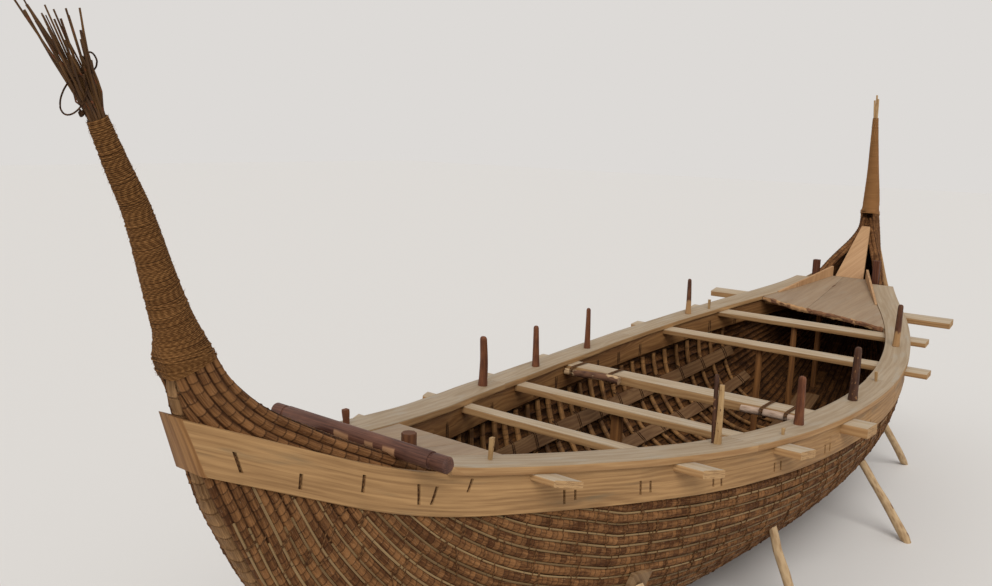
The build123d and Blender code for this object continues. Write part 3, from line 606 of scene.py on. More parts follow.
def edge_bundles(side_name, side):
    """Round bundles that lie along the top edge of the wall, where it shows from inside."""
    shell = Shell()
    for number, inset in enumerate(EDGE_BUNDLE_INSETS):
        for start, end in EDGE_RUNS:
            ring = np.arange(int((end - start) / RING_SPACING))
            along = (start + (ring[:, None] + RING_STEPS + 0.2) * RING_SPACING).ravel()
            marks = (ring[:, None] + RING_STEPS + 1).ravel()
            swell = np.tile(RING_LIFTS, len(ring)) + random.normal(0, EDGE_SWELL_UNEVEN, len(along))
            points, normals, _ = skin.at(along, 1.0)
            centre = points - normals * inset
            centre[:, 1] = np.minimum(centre[:, 1], -0.7 * EDGE_BUNDLE_R)
            centre[:, 2] -= EDGE_BUNDLE_DROP
            across = np.stack([normals[:, 0], normals[:, 1], 0 * along], -1)
            across /= np.linalg.norm(across, axis=1)[:, None] + 1e-6
            run = unit_rows(np.gradient(centre, axis=0))
            across = unit_rows(across - (across * run).sum(1, keepdims=True) * run)
            reach = (EDGE_BUNDLE_R + swell)[:, None, None]
            rings = round_rings(centre, across, np.cross(run, across), reach, full_turn(EDGE_BUNDLE_SIDES))
            around = EDGE_NUMBER + 4 * number + np.linspace(0, 2, EDGE_BUNDLE_SIDES + 1)
            shell.patch(mirrored(rings, side), grid_uv(marks, around), wrap=True, flip=side == PORT)
    return shell.piece(f"edge_bundles_{side_name}", "reed_bundle", reeds, crease=60)


LINING_SHORT = 0.012
LINING_STATIONS = 245
LINING_BUNDLES = 20
# Places across one of its ridges, as shares of the ridge's width
LINING_SHARES = np.array([0, 0.15, 0.5, 0.85])
LINING_RIDGE = 0.30
LINING_UNEVEN = 0.30
TOP_EDGE_RISE = 0.012


def reed_lining(side_name, side):
    """Inner side of the reed wall and its top edge, with the bundles showing as ridges."""
    shell = Shell()
    share = (np.arange(LINING_BUNDLES)[:, None] + LINING_SHARES).ravel()
    share = np.append(share, LINING_BUNDLES) / LINING_BUNDLES
    along = np.linspace(LINING_SHORT, skin.length - LINING_SHORT, LINING_STATIONS)
    points, normals, length_round = skin.at(along[:, None], share[None])
    ridge = np.append(np.tile(np.sin(pi * LINING_SHARES) ** 0.75, LINING_BUNDLES), 0)
    lump = 1 + random.normal(0, LINING_UNEVEN, (len(along), LINING_BUNDLES))
    lump = lump.repeat(len(LINING_SHARES), axis=1)
    lump = np.hstack([lump, lump[:, -1:]])
    depth = REED_WALL - LINING_RIDGE * length_round / LINING_BUNDLES * ridge * lump
    inner = points - normals * depth[..., None]
    inner[..., 1] = np.minimum(inner[..., 1], 0)
    over_keel = np.concatenate([inner[:, :1] * (1, 0, 1), inner], axis=1)
    marks = along / RING_SPACING
    uv = grid_uv(marks, np.append(LINING_NUMBER - 0.5, share * LINING_BUNDLES + LINING_NUMBER))
    shell.patch(mirrored(over_keel, side), uv, flip=side == STARBOARD)
    edge = np.linspace(0, 1, 9)
    outer_edge = points[:, -1:]
    top = outer_edge + (inner[:, -1:] - outer_edge) * edge[None, :, None]
    top[..., 2] += TOP_EDGE_RISE * np.abs(np.sin(2 * pi * edge))
    shell.patch(mirrored(top, side), grid_uv(marks, edge * 2 + TOP_EDGE_NUMBER), flip=side == PORT)
    return shell.piece(f"reed_lining_{side_name}", "reed_bundle", lining_reeds, crease=70)


KEEL_RING_SPACING = 0.062
# Doubled rope rings: places along, in ring spacings, and how far the skin stands out there
KEEL_RING_STEPS = (-0.20, -0.12, -0.04, 0.04, 0.12, 0.55)
KEEL_RING_LIFTS = (-0.002, 0.0030, -0.001, 0.0030, -0.002, 0.001)
KEEL_SWELL_UNEVEN = 0.0005
KEEL_NARROWEST = 0.042
KEEL_COLUMNS = 15
KEEL_TAPER = 0.12
# The keel leads up behind the stern block: how far in, from which height and over how much
KEEL_SET_IN = 0.014
SET_IN_FROM_Z = 1.55
SET_IN_OVER = 0.28


def keel_bundle():
    """Fat keel bundle with doubled rope rings, which leads up into both stems."""
    shell = Shell()
    rings = int(skin.length / KEEL_RING_SPACING)
    ring = np.arange(1, rings)
    marks = np.concatenate([[0.2], (ring[:, None] + KEEL_RING_STEPS).ravel(), [rings + 0.9]])
    swell = (KEEL_RING_LIFTS + random.normal(0, KEEL_SWELL_UNEVEN, (len(ring), 6))).ravel()
    swell = np.concatenate([[0], swell, [0]])
    along = np.clip(marks * KEEL_RING_SPACING, 0, skin.length)
    foot, down, _ = skin.at(along, 0)
    half = np.maximum(skin.between(skin.keel_half, along), KEEL_NARROWEST)
    centre = foot * (1, 0, 1)
    behind_block = np.clip((foot[:, 2] - SET_IN_FROM_Z) / SET_IN_OVER, 0, 1) * (foot[:, 0] < 0)
    centre[:, 0] += KEEL_SET_IN * eased(behind_block)
    angle = np.linspace(-pi / 2, pi / 2, KEEL_COLUMNS)
    proud = KEEL_PROUD * np.where(half < KEEL_HALF_WIDTH - 0.001, 1.25, 1.0)
    proud = proud * np.clip(np.minimum(along, skin.length - along) / KEEL_TAPER, 0.35, 1)
    down = unit_rows(down * (1, 0, 1))
    wide = (half * 1.02)[:, None] * np.sin(angle)
    deep = proud[:, None] * np.cos(angle) ** 0.8 - 0.012 * np.abs(np.sin(angle)) ** 6
    points = (centre[:, None] + wide[..., None] * (0.0, 1.0, 0.0)
              + (deep + swell[:, None] * np.cos(angle) ** 0.3)[..., None] * down[:, None])
    points[..., 0] = np.minimum(points[..., 0], BOW_END_X - 0.001)
    shell.patch(points, grid_uv(marks + 0.04, KEEL_NUMBER + np.linspace(0, 1, KEEL_COLUMNS)), flip=True)
    return shell.piece("keel_bundle_bound", "reed_bundle", leading_reeds, replaces=["keel_bundle"], crease=60)


CANE_R = 0.0055
CANE_PROUD = 0.08
CANE_STEP = 0.055
CANES_FROM = 0.45
CANES_TO = skin.length - 0.90
CANE_LOWEST = 0.015
CANE_HIGHEST = 0.985
LEAST_CANE_POINTS = 4


def split_cane_battens(side_name, side):
    """Split canes laid in the grooves between the bundles."""
    shell = Shell()
    for groove in range(1, BUNDLE_COUNT):
        along = np.arange(CANES_FROM, CANES_TO, CANE_STEP)
        highest = np.where(along < skin.length / 2, share_under_wale(along), CANE_HIGHEST)
        along = along[(edge_share(along, groove) > CANE_LOWEST) & (edge_share(along, groove) < highest)]
        along = along[random.integers(1, 7):-random.integers(1, 7)]
        if len(along) < LEAST_CANE_POINTS:
            continue
        points, normals, _ = skin.at(along, edge_share(along, groove))
        path = mirrored(points + normals * (CANE_PROUD * bundle_width(along))[:, None], side)
        path[:, 2] += drift(len(along), 5, 0.0020)
        shell.tube(path, CANE_R * random.uniform(0.85, 1.15), sides=6)
    return shell.piece(f"split_canes_{side_name}", "reed_bundle", cane)


# Places of a lashing on its way down, in bundle widths: over a cane, the bundle and the next cane
LASH_PLACES = np.array([-0.20, -0.05, 0.05, 0.28, 0.5, 0.72, 0.95, 1.05, 1.20])
LASH_R = 0.0031
LASH_ENDS_SINK = 0.008
LASH_LOWEST = 0.01
LASH_HIGHEST = 0.995
OVER_CANE = 0.12
LASH_SPACING = (0.22, 0.40)
DOUBLED_SHARE = 0.3
DOUBLED_APART = 0.0075
LONG_LASHINGS = 40
LONG_LASHINGS_FROM = 1.2


def lashing(shell, along, bundle, side, slant, span=1):
    """Rope drawn over a bundle from the cane above it to the one below, or over two bundles."""
    down = LASH_PLACES if span == 1 else np.concatenate([LASH_PLACES[:-1], LASH_PLACES[2:] + 1])
    places = along + slant * down
    share = edge_share(places, bundle + down)
    highest = share_under_wale(along) if along < skin.length / 2 else LASH_HIGHEST
    if share.min() < LASH_LOWEST or share.max() > min(highest, LASH_HIGHEST):
        return
    points, normals, _ = skin.at(places, share)
    width = bundle_width(places)
    from_cane = np.abs(down - np.round(down))
    lift = crown(down % 1) * width + 0.6 * LASH_R
    over_cane = CANE_PROUD * width + CANE_R + 0.4 * LASH_R
    lift = np.where(from_cane < OVER_CANE, np.maximum(lift, over_cane), lift)
    lift[[0, -1]] -= LASH_ENDS_SINK
    path = mirrored(points + normals * lift[:, None], side)
    shell.tube(path, LASH_R, sides=5, lids=False)


def side_lashings(side_name, side):
    """Ropes that sew bundle to bundle, in staggered rows."""
    shell = Shell()
    for bundle in range(1, BUNDLE_COUNT - 1):
        along = random.uniform(CANES_FROM, CANES_FROM + 0.3)
        while along < CANES_TO:
            slant = random.uniform(-0.012, 0.030)
            lashing(shell, along, bundle, side, slant)
            if random.uniform() < DOUBLED_SHARE:
                lashing(shell, along + DOUBLED_APART, bundle, side, slant)
            along += random.uniform(*LASH_SPACING)
    for _ in range(LONG_LASHINGS):
        along = random.uniform(LONG_LASHINGS_FROM, skin.length - LONG_LASHINGS_FROM)
        bundle = random.integers(1, BUNDLE_COUNT - 3)
        lashing(shell, along, bundle, side, random.uniform(0.01, 0.06), span=2)
    return shell.piece(f"side_lashings_{side_name}", "coir_binding", sewing_rope)


# Bound stems

def stem_rows(end):
    """Centre line and half sizes of a stem, from the shut end of the hull upward."""
    row = skin.rows[0] if end == "stern" else skin.rows[-1]
    table = STERN_STEM if end == "stern" else BOW_STEM
    keel = np.array([row[0], row[1]])
    top = np.array([row[2], float(sheer(row[2])) + row[3]])
    middle = (keel + top) / 2
    breadth = 0.45 * np.linalg.norm(top - keel)
    return np.array([(middle[0], middle[1], np.linalg.norm(top - keel) / 2, breadth)] + table)


def stem_surface(rows, place, angle, proud=0.0):
    """Point on a stem at a place among its rows and an angle around it."""
    place = np.asarray(place, float)
    shape = smooth_rows(rows, place)
    ahead = smooth_rows(rows, np.minimum(place + 0.05, len(rows) - 1.001))
    behind = smooth_rows(rows, np.maximum(place - 0.05, 0))
    run = unit_rows((ahead - behind)[:, :2])
    depth = shape[:, 2] + proud
    width = shape[:, 3] + proud
    x = shape[:, 0] + run[:, 1] * depth * np.cos(angle)
    z = shape[:, 1] - run[:, 0] * depth * np.cos(angle)
    return np.stack([x, width * np.sin(angle), z], -1)


def stem_place(rows, height):
    """Place among a stem's rows at a height."""
    places = np.linspace(0, len(rows) - 1, 300)
    return np.interp(height, smooth_rows(rows, places)[:, 1], places)


COIR_R = 0.0031
# How far the winding reaches down the hull's shut end, over the keel and over the top edges
KEEL_COVER = {"stern": 0.060, "bow": 0.020}
TOP_COVER = {"stern": 0.025, "bow": 0.030}
COVER_PROUD = 0.008
KEEL_BULGE_SHARE = 0.10
ONTO_STEM = 0.6


def shut_end(end, reach, angle, proud):
    """Point on the hull's shut end at an angle around it; reach 1 is the winding's lower edge."""
    from_fore = np.abs((angle + pi) % (2 * pi) - pi) / pi
    share = 1 - from_fore if end == "stern" else from_fore
    depth = reach * (KEEL_COVER[end] + (TOP_COVER[end] - KEEL_COVER[end]) * share)
    points, normals, _ = skin.at(depth if end == "stern" else skin.length - depth, share)
    over_keel = 0.35 * KEEL_PROUD * np.exp(-(share / KEEL_BULGE_SHARE) ** 2)
    points = points + normals * (COVER_PROUD + proud + over_keel)[..., None]
    points[..., 1] = np.abs(points[..., 1]) * np.sign(np.sin(angle))
    return points


def stem_point(end, rows, place, angle, proud=0.0):
    """Point on the winding: on the hull's shut end from place -1 to 0, then on the stem."""
    place, angle, proud = np.broadcast_arrays(np.asarray(place, float), angle, proud)
    onto_stem = eased(np.clip(place / ONTO_STEM, 0, 1))[:, None]
    hull = shut_end(end, np.maximum(-place, 0), angle, proud)
    centre = smooth_rows(rows, np.maximum(place, 0))[:, :2] - rows[0, :2]
    hull = hull + np.stack([centre[:, 0], 0 * angle, centre[:, 1]], -1)
    return hull * (1 - onto_stem) + stem_surface(rows, np.maximum(place, 0), angle, proud) * onto_stem


CORE_SIDES = 28
CORE_STATIONS = 50
POINTS_A_TURN = 26
TURN_APART = 1.6
TURN_APART_ON_STEM = 1.86
STRAY_TURNS = 8
COIR_HAIRS = 900
HAIR_RADII = [0.0006, 0.0005, 0.0003]


def wound_rope(shell, end, rows):
    """The rope itself: turn on turn, from the hull's shut end up to the top of the stem."""
    turns_on_hull = int(max(TOP_COVER[end], KEEL_COVER[end]) / (TURN_APART * COIR_R))
    turns = int((rows[-1, 1] - rows[0, 1]) / (TURN_APART_ON_STEM * COIR_R))
    low = turns_on_hull * POINTS_A_TURN
    high = turns * POINTS_A_TURN
    angle = np.linspace(0, 2 * pi * (turns_on_hull + turns), low + high)
    height = np.linspace(rows[0, 1], rows[-1, 1] - 0.003, high)
    height = height + drift(high, 15, 0.0009)
    place = np.concatenate([np.linspace(-1, 0, low, endpoint=False), stem_place(rows, height)])
    proud = drift(len(angle), 9, 0.0008)
    shell.tube(stem_point(end, rows, place, angle, proud), COIR_R, sides=5)


def stray_turns(shell, end, rows):
    """Turns that lie askew over the others."""
    around = np.linspace(0, 2 * pi, 40)
    for _ in range(STRAY_TURNS):
        tilt = random.uniform(-0.10, 0.10)
        place = random.uniform(-0.9, 1.6) + tilt * np.cos(around + random.uniform(0, 6))
        shell.tube(stem_point(end, rows, place, around, 0.0025), COIR_R, sides=5)


def coir_hairs(shell, end, rows):
    """Short fibres that stand off the winding."""
    for _ in range(COIR_HAIRS):
        angle = random.uniform(0, 2 * pi)
        place = random.uniform(-0.9, len(rows) - 1.05)
        foot = stem_point(end, rows, [place], [angle])[0]
        tip_angle = angle + random.normal(0, 0.15)
        tip = stem_point(end, rows, [place], [tip_angle], random.uniform(0.003, 0.008))[0]
        tip[2] += random.normal(0, 0.009)
        middle = (foot + tip) / 2 + random.normal(0, 0.0015, 3)
        shell.tube([foot, middle, tip], HAIR_RADII, sides=3, lids=False)


def bound_stem(end):
    """Fine coir rope wound tight around the gathered reeds, down over the hull's shut end."""
    rows = stem_rows(end)
    shell = Shell()
    places = stem_place(rows, np.linspace(rows[0, 1], rows[-1, 1], CORE_STATIONS))
    places = np.concatenate([[-1, -0.7, -0.35], places])
    angles = full_turn(CORE_SIDES)
    rings = [stem_point(end, rows, np.full(CORE_SIDES, place), angles, -0.6 * COIR_R) for place in places]
    shell.sweep(np.stack(rings), finish=1, end_finish=1)
    wound_rope(shell, end, rows)
    stray_turns(shell, end, rows)
    coir_hairs(shell, end, rows)
    # The bow winding takes the paler copy of the coir, with painted light in its colour
    return shell.piece(f"{end}_winding", "coir_binding", coir if end == "stern" else painted_light_coir, stem_core,
                       replaces=[f"{end}_stem"], crease=80)


# The fan's bunch: where its reeds start inside the winding and where they leave it
FAN_BASE = np.array([-4.520, 0, 3.080])
FAN_THROAT = np.array([-4.556, 0, 3.185])
FAN_REEDS = 96
# Single long reeds of the fan: x and z of the tip, radius
LONG_REEDS = (
    (-4.746, 3.508, 0.0075),
    (-4.678, 3.485, 0.0035),
    (-4.595, 3.464, 0.0045),
    (-4.651, 3.408, 0.0045),
    (-4.575, 3.352, 0.0050),
    (-4.700, 3.440, 0.0040),
    (-4.620, 3.400, 0.0045),
    (-4.868, 3.640, 0.0048),
    (-4.800, 3.560, 0.0040),
)


def stern_reed_ends():
    """Dark loose reeds that stand out of the stern's winding in a thick bunch."""
    shell = Shell()
    for _ in range(FAN_REEDS):
        angle = random.uniform(0, 2 * pi)
        spread = random.uniform(0, 1) ** 0.6
        outward = spread * np.array([cos(angle), sin(angle), 0])
        middle = FAN_THROAT + 0.032 * outward
        rise = random.uniform(0.06, 0.17) + 0.22 * random.uniform() ** 5
        lean = np.array([-0.39 + 0.22 * spread * cos(angle), 0.20 * spread * sin(angle), 1.0])
        bent = middle + 0.5 * rise * lean + random.normal(0, 0.005, 3)
        path = curve_through([FAN_BASE + 0.024 * outward, middle, bent, middle + rise * lean], 7)
        shell.tube(path, random.uniform(0.0038, 0.0060) * np.linspace(1, 0.7, 7), sides=5)
    for x, z, radius in LONG_REEDS:
        tip = np.array([x, random.normal(0, 0.020), z])
        foot = FAN_THROAT + random.normal(0, 0.010, 3) * (1, 1, 0)
        middle = (foot + tip) / 2 + random.normal(0, 0.006, 3)
        path = curve_through([FAN_BASE, foot, middle, tip], 9)
        shell.tube(path, radius * np.linspace(1, 0.6, 9), sides=6)
    return shell.piece("stern_reed_fan", "reed_end", loose_reed, replaces=["stern_reed_ends"])


STICKS_BASE = np.array([4.490, 0, 3.380])
# Sticks out of the bow's winding: x, y and z of the tip, radius
BOW_STICKS = (
    (4.446, -0.004, 3.658, 0.0115),
    (4.441, 0.014, 3.602, 0.0110),
    (4.452, -0.020, 3.616, 0.0105),
    (4.470, 0.004, 3.560, 0.0110),
)


def bow_reed_ends():
    """Pale stick ends that stand out of the bow's winding, close together."""
    shell = Shell()
    for x, y, z, radius in BOW_STICKS:
        foot = STICKS_BASE + (0, 0.7 * y, 0)
        middle = (foot + (x, y, z)) / 2 + random.normal(0, 0.0015, 3)
        shell.tube(curve_through([foot, middle, (x, y, z)], 6), radius * np.linspace(1, 0.85, 6), sides=8)
    return shell.piece("bow_stick_ends", "reed_end", pale_stick, replaces=["bow_reed_ends"])


# Level directions of the loops: the one they hang along and the one they stand out in
LOOP_ALONG = np.array([0.611, -0.790, 0])
LOOP_OUT = np.array([0.790, 0.611, 0])
LOOP_R = 0.0031
LOOP_POINTS = 36
# Loops: x and z of the middle, half width, half height, tilt
LOOPS = (
    (-4.548, 3.347, 0.018, 0.030, 0.10),
    (-4.612, 3.234, 0.036, 0.062, 0.45),
    (-4.552, 3.270, 0.016, 0.022, -0.30),
    (-4.545, 3.198, 0.020, 0.024, 0.20),
)
KNOT_PLACE = (-4.584, 0.020)
KNOT_R = 0.0045
# Turns of the knot: radius of the turn, height
KNOT_TURNS = ((0.011, 3.176), (0.008, 3.183))


def rope_loops():
    """Loose loops of thin dark rope around the neck of the stern's reeds."""
    shell = Shell()
    turns = np.linspace(0, 2 * pi, LOOP_POINTS)
    for x, z, wide, tall, tilt in LOOPS:
        reach = wide * np.cos(turns) + tilt * tall * np.sin(turns)
        path = reach[:, None] * LOOP_ALONG + (tall * np.sin(turns))[:, None] * (0, 0, 1.0)
        path += drift(LOOP_POINTS, 8, 0.0015, columns=3)
        path += (0.012 * np.cos(turns + 1))[:, None] * LOOP_OUT
        path[-1] = path[0]
        shell.tube(path + (x, 0, z) - 0.022 * LOOP_OUT, LOOP_R, sides=5)
    knot_x, knot_y = KNOT_PLACE
    for reach, height in KNOT_TURNS:
        knot = rings_at(knot_x + reach * np.cos(turns), knot_y + reach * np.sin(turns),
                        height + 0.006 * np.sin(3 * turns))
        shell.tube(knot, KNOT_R, sides=5)
    return shell.piece("stern_rope_loops", "coir_binding", dark_rope)


# Planking

# Sewing slots of the wale, each cut by hand: single ones aft, then pairs at even distances.
# Columns: x at its top and foot, lift of top and foot
WALE_SLOTS = [
    (-4.127, -4.102, -0.081, -0.159),
    (-3.865, -3.871, -0.108, -0.176),
    (-3.592, -3.600, -0.051, -0.132),
    (-3.335, -3.334, -0.059, -0.156),
    (-3.243, -3.271, -0.064, -0.152),
    (-3.061, -3.084, -0.021, -0.087),
    (-2.531, -2.527, -0.098, -0.173),
    (-2.460, -2.458, -0.102, -0.156),
    (-2.022, -2.017, -0.084, -0.164),
    (-1.951, -1.946, -0.090, -0.157),
    (-1.461, -1.456, -0.121, -0.177),
    (-1.391, -1.384, -0.124, -0.181),
]
SLOT_PAIRS = (-0.862, -0.210, 0.560, 1.330, 2.050, 2.860, 3.560)
PAIR_APART = 0.070
WALE_SLOTS += [(x, x + 0.004, -0.112, -0.172) for pair in SLOT_PAIRS for x in (pair, pair + PAIR_APART)]
WALE_SLOTS += [(4.150, 4.146, -0.090, -0.160)]
SLOT_HALF = 0.0075
SLOT_DEPTH = 0.022
# How far apart the two points are that make a slot's side
SLOT_WALL = 0.0006
STATION_STEP = 0.05
WALE_RAKE = -0.38
# Outline of the wale, inset and lift of each point, down its outer face and up its inner face.
# The four points from SLOT_FIRST on are moved to each slot's top and foot.
WALE_OUTLINE = [
    (0.004, 0),
    (0, -0.004),
    (0, -0.016),
    (0, 0),
    (0, 0),
    (0, 0),
    (0, 0),
    (0, -0.190),
    (0, -0.206),
    (0.004, -WALE_HEIGHT),
    (0.036, -WALE_HEIGHT),
    (WALE_THICK, -0.206),
    (WALE_THICK, -0.100),
    (WALE_THICK, -0.004),
    (0.036, 0),
]
SLOT_FIRST = 3


def plank_rings(xs, insets, lifts, side):
    """Rings of a plank along the gunwale; xs can differ around a ring, where an end is raked."""
    return planking_point(xs if xs.ndim == 2 else xs[:, None], insets, lifts, side)


def wale(side_name, side):
    """Outer plank with raked stern end and sewing slots cut into its face."""
    x_top, x_low, lift_top, lift_low = np.array(WALE_SLOTS).T
    slant = (x_top - x_low) / (lift_top - lift_low)
    at_sheer = x_top - slant * lift_top
    xs = np.arange(STERN_END_X + 0.014, BOW_END_X - 0.004, STATION_STEP)
    xs = xs[np.abs(xs[:, None] - at_sheer).min(1) > SLOT_HALF + 0.016]
    edges = at_sheer[:, None] + (-SLOT_HALF - SLOT_WALL, -SLOT_HALF, SLOT_HALF, SLOT_HALF + SLOT_WALL)
    xs = np.sort(np.concatenate([xs, edges.ravel(), [BOW_END_X - 0.002]]))
    nearest = np.abs(xs[:, None] - at_sheer).argmin(1)
    in_slot = np.abs(xs - at_sheer[nearest]) < SLOT_HALF + SLOT_WALL / 2
    knots = (at_sheer[:, None] + (-0.012, 0.012)).ravel()
    top = np.interp(xs, knots, np.repeat(lift_top, 2))
    low = np.interp(xs, knots, np.repeat(lift_low, 2))
    tilt_knots = np.concatenate([[STERN_END_X], knots])
    tilt = np.interp(xs, tilt_knots, np.concatenate([[WALE_RAKE], np.repeat(slant, 2)]))
    slot_columns = slice(SLOT_FIRST, SLOT_FIRST + 4)
    insets, lifts = (np.tile(column, (len(xs), 1)) for column in np.array(WALE_OUTLINE).T)
    lifts[:, slot_columns] = np.stack([top + SLOT_WALL, top, low, low - SLOT_WALL], -1)
    cut_insets = insets.copy()
    cut_insets[np.ix_(in_slot, [SLOT_FIRST + 1, SLOT_FIRST + 2])] = SLOT_DEPTH
    wander = drift(len(xs), 9, 0.0012, columns=len(WALE_OUTLINE))
    wander[:, slot_columns] = wander[:, [SLOT_FIRST]]
    stations = xs[:, None] + tilt[:, None] * lifts
    rings = plank_rings(stations, cut_insets + wander, lifts, side)
    round_insets, round_lifts, round_xs = (np.hstack([row, row[:, :1]]) for row in (insets, lifts, stations))
    around = np.cumsum(np.hypot(np.diff(round_insets), np.diff(round_lifts)), axis=1)
    around = np.hstack([np.zeros((len(xs), 1)), around])
    shell = Shell()
    shell.patch(rings, np.stack([round_xs + 5 + 5 * side, around], -1), wrap=True, flip=side == PORT)
    for ring, turned in ((rings[0], side == PORT), (rings[-1], side == STARBOARD)):
        shell.lid(ring, ring[:, 1:], flip=not turned, finish=1)
    return shell.piece(f"wale_plank_{side_name}", "wale_plank", pine, end_grain,
                       replaces=[f"wale_{side_name}"])


STITCH_R = 0.0036
STITCH_APART = 0.0032


def wale_stitches(side_name, side):
    """Rope stitches that show in the wale's slots."""
    shell = Shell()
    share = np.linspace(0.04, 0.96, 6)
    insets = 0.012 - 0.006 * np.sin(pi * share)
    for x_top, x_low, top, low in WALE_SLOTS:
        for strand in (-STITCH_APART, STITCH_APART):
            xs = x_top + (x_low - x_top) * share + strand + random.uniform(-0.0015, 0.0015)
            shell.tube(planking_point(xs, insets, top + (low - top) * share, side), STITCH_R, sides=5)
    return shell.piece(f"wale_stitches_{side_name}", "coir_binding", sewing_rope)


# Outline of the stern block: distance in from its face, side, and inset from the planking
BLOCK_OUTLINE = (
    (0.000, 1, 0.003),
    (0.000, -1, 0.003),
    (0.003, -1, 0.000),
    (0.018, -1, 0.000),
    (0.060, -1, 0.030),
    (0.060, 1, 0.030),
    (0.018, 1, 0.000),
    (0.003, 1, 0.000),
)
BLOCK_PROUD = 0.0015
BLOCK_TOP = 0.002
BLOCK_FOOT = -0.212


def wale_stern_block():
    """Raked block of wood that the two wales end on at the stern."""
    deep, hand, inset = np.array(BLOCK_OUTLINE).T
    rings = []
    for lift in np.linspace(BLOCK_TOP, BLOCK_FOOT, 9):
        x = STERN_END_X + WALE_RAKE * lift + deep
        y = hand * (half_breadth(x) - inset + BLOCK_PROUD)
        rings.append(np.stack([x, y, sheer(x) + lift], -1))
    shell = Shell()
    shell.sweep(np.stack(rings))
    return shell.piece("wale_block_stern", "wale_plank", warm_pine, replaces=["wale_end_stern"])


INWALE_STEP = 0.07
INWALE_CORNER = 0.004
INWALE_STITCH_R = 0.0042
INWALE_STITCH_STEP = 0.37
CLEAR_OF_BEAM = 0.05


def inwale(side_name, side):
    """Plank inside the reed wall, opposite the wale."""
    xs = np.arange(INWALE_FROM_X, INWALE_TO_X + 0.001, INWALE_STEP)
    outline = rounded_box(INWALE_THICK, INWALE_HEIGHT - 0.001, INWALE_CORNER)
    insets = outline[:, 0] + INWALE_INSET + INWALE_THICK / 2
    lifts = outline[:, 1] - (INWALE_HEIGHT + 0.001) / 2
    rings = plank_rings(xs, insets[None] + drift(len(xs), 9, 0.0012)[:, None], lifts[None], side)
    shell = Shell()
    shell.sweep(rings, flip=side == PORT, end_finish=1)
    return shell.piece(f"inwale_plank_{side_name}", "wale_plank", warm_pine, end_grain,
                       replaces=[f"inwale_{side_name}"])


def inwale_stitches(side_name, side):
    """Paired rope stitches down the inwale's inner face."""
    shell = Shell()
    lifts = np.linspace(-INWALE_HEIGHT + 0.010, -0.070, 7)
    insets = INWALE_INSET + INWALE_THICK + 0.0045 * np.sin(np.linspace(0, pi, 7)) ** 0.4 - 0.002
    for x in np.arange(INWALE_FROM_X + 0.25, INWALE_TO_X - 0.2, INWALE_STITCH_STEP):
        if any(aft - CLEAR_OF_BEAM < x < aft + width + CLEAR_OF_BEAM for aft, _, width, _, _ in BEAMS):
            continue
        for strand in (-0.012, 0.012):
            xs = x + strand + random.uniform(-0.004, 0.004) * np.linspace(-1, 1, 7)
            shell.tube(planking_point(xs, insets, lifts, side), INWALE_STITCH_R, sides=5)
    return shell.piece(f"inwale_stitches_{side_name}", "coir_binding", dark_rope)


def side_faces(outline, height):
    """Finish of each face around a board: 0 on its top, 2 on its edges and underside."""
    middles = (outline[:, 1] + np.roll(outline[:, 1], -1)) / 2
    return np.where(middles > height / 2 - 0.0045, 0, 2)


# How far worn edges may stand out at most
CAP_WORN = 0.004


def cap(side_name, side, name, x_from, x_to):
    """Cap board, worn round at its edges and not quite true."""
    xs = np.linspace(x_from + 0.001, x_to - 0.001, int((x_to - x_from) / STATION_STEP))
    outline = rounded_box(CAP_WIDTH, CAP_THICK, BOARD_CORNER, parts=4)
    insets = CAP_WIDTH / 2 - CAP_OVERHANG - outline[:, 0]
    lifts = outline[:, 1] + CAP_THICK / 2
    edge = drift(len(xs), 7, 0.0022)[:, None] * np.sign(outline[:, 0]) + drift(len(xs), 9, 0.0018)[:, None]
    rings = plank_rings(xs, insets[None] + np.minimum(edge, CAP_WORN), lifts[None], side)
    shell = Shell()
    shell.sweep(rings, flip=side == STARBOARD, finish=side_faces(outline, CAP_THICK), end_finish=1)
    return shell.piece(f"cap_board_{name}_{side_name}", "planed_board", cap_top, end_grain, board_edge,
                       replaces=[f"cap_{name}_{side_name}"])


def beam(number, aft_x, half_length, width, height, skew):
    """Sawn beam across the hull, with weathered top, warm sides and pale end grain."""
    slope = float(sheer(aft_x + width) - sheer(aft_x)) / width
    size = hypot(1, slope)
    along_x = np.array([1, 0, slope]) / size
    up = np.array([-slope, 0, 1]) / size
    middle = np.array([aft_x + width / 2, 0, float(sheer(aft_x + width / 2))])
    outline = rounded_box(width, height, BOARD_CORNER, parts=3)
    ys = np.linspace(-half_length, half_length, int(half_length / 0.04))
    wander = drift(len(ys), 6, 0.0013, columns=2)
    centres = middle - up * height / 2 + ys[:, None] * (0, 1, 0) + wander[:, :1] * along_x
    rings = centres[:, None] + outline[None, :, :1] * along_x + outline[None, :, 1:] * up
    bend = 1 + wander[:, 1]
    rings = centres[:, None] + (rings - centres[:, None]) * bend[:, None, None]
    rings[..., 1] *= 1 + skew / half_length * (outline[:, 0] / width + 0.5)
    shell = Shell()
    shell.sweep(rings, finish=side_faces(outline, height), end_finish=1)
    return shell.piece(f"beam_plank_{number}", "planed_board", beam_top, end_grain, board_edge,
                       replaces=[f"beam_{number}"])


# Inside the hull

def inner_point(along, share, proud):
    """Point so far inside the reed wall's inner face, and the inward normal."""
    points, normals, _ = skin.at(along, share)
    return points - normals * (REED_WALL + proud)[..., None], -normals


def inner_section(x, proud, shares):
    """Inner face of the starboard side where a plane across the boat cuts it."""
    along = np.linspace(0, skin.length, 500)
    points, _ = inner_point(along[:, None], shares[None], np.full((1, 1), proud))
    where = np.stack([np.interp(x, points[:, k, 0], along) for k in range(len(shares))])
    section, _ = inner_point(where, shares, np.full(len(shares), proud))
    section[:, 1] = np.minimum(section[:, 1], -0.001)
    return section


RIB_CORNER = 0.014
RIB_SEAT = 0.4
RIB_CLEAR = 0.005


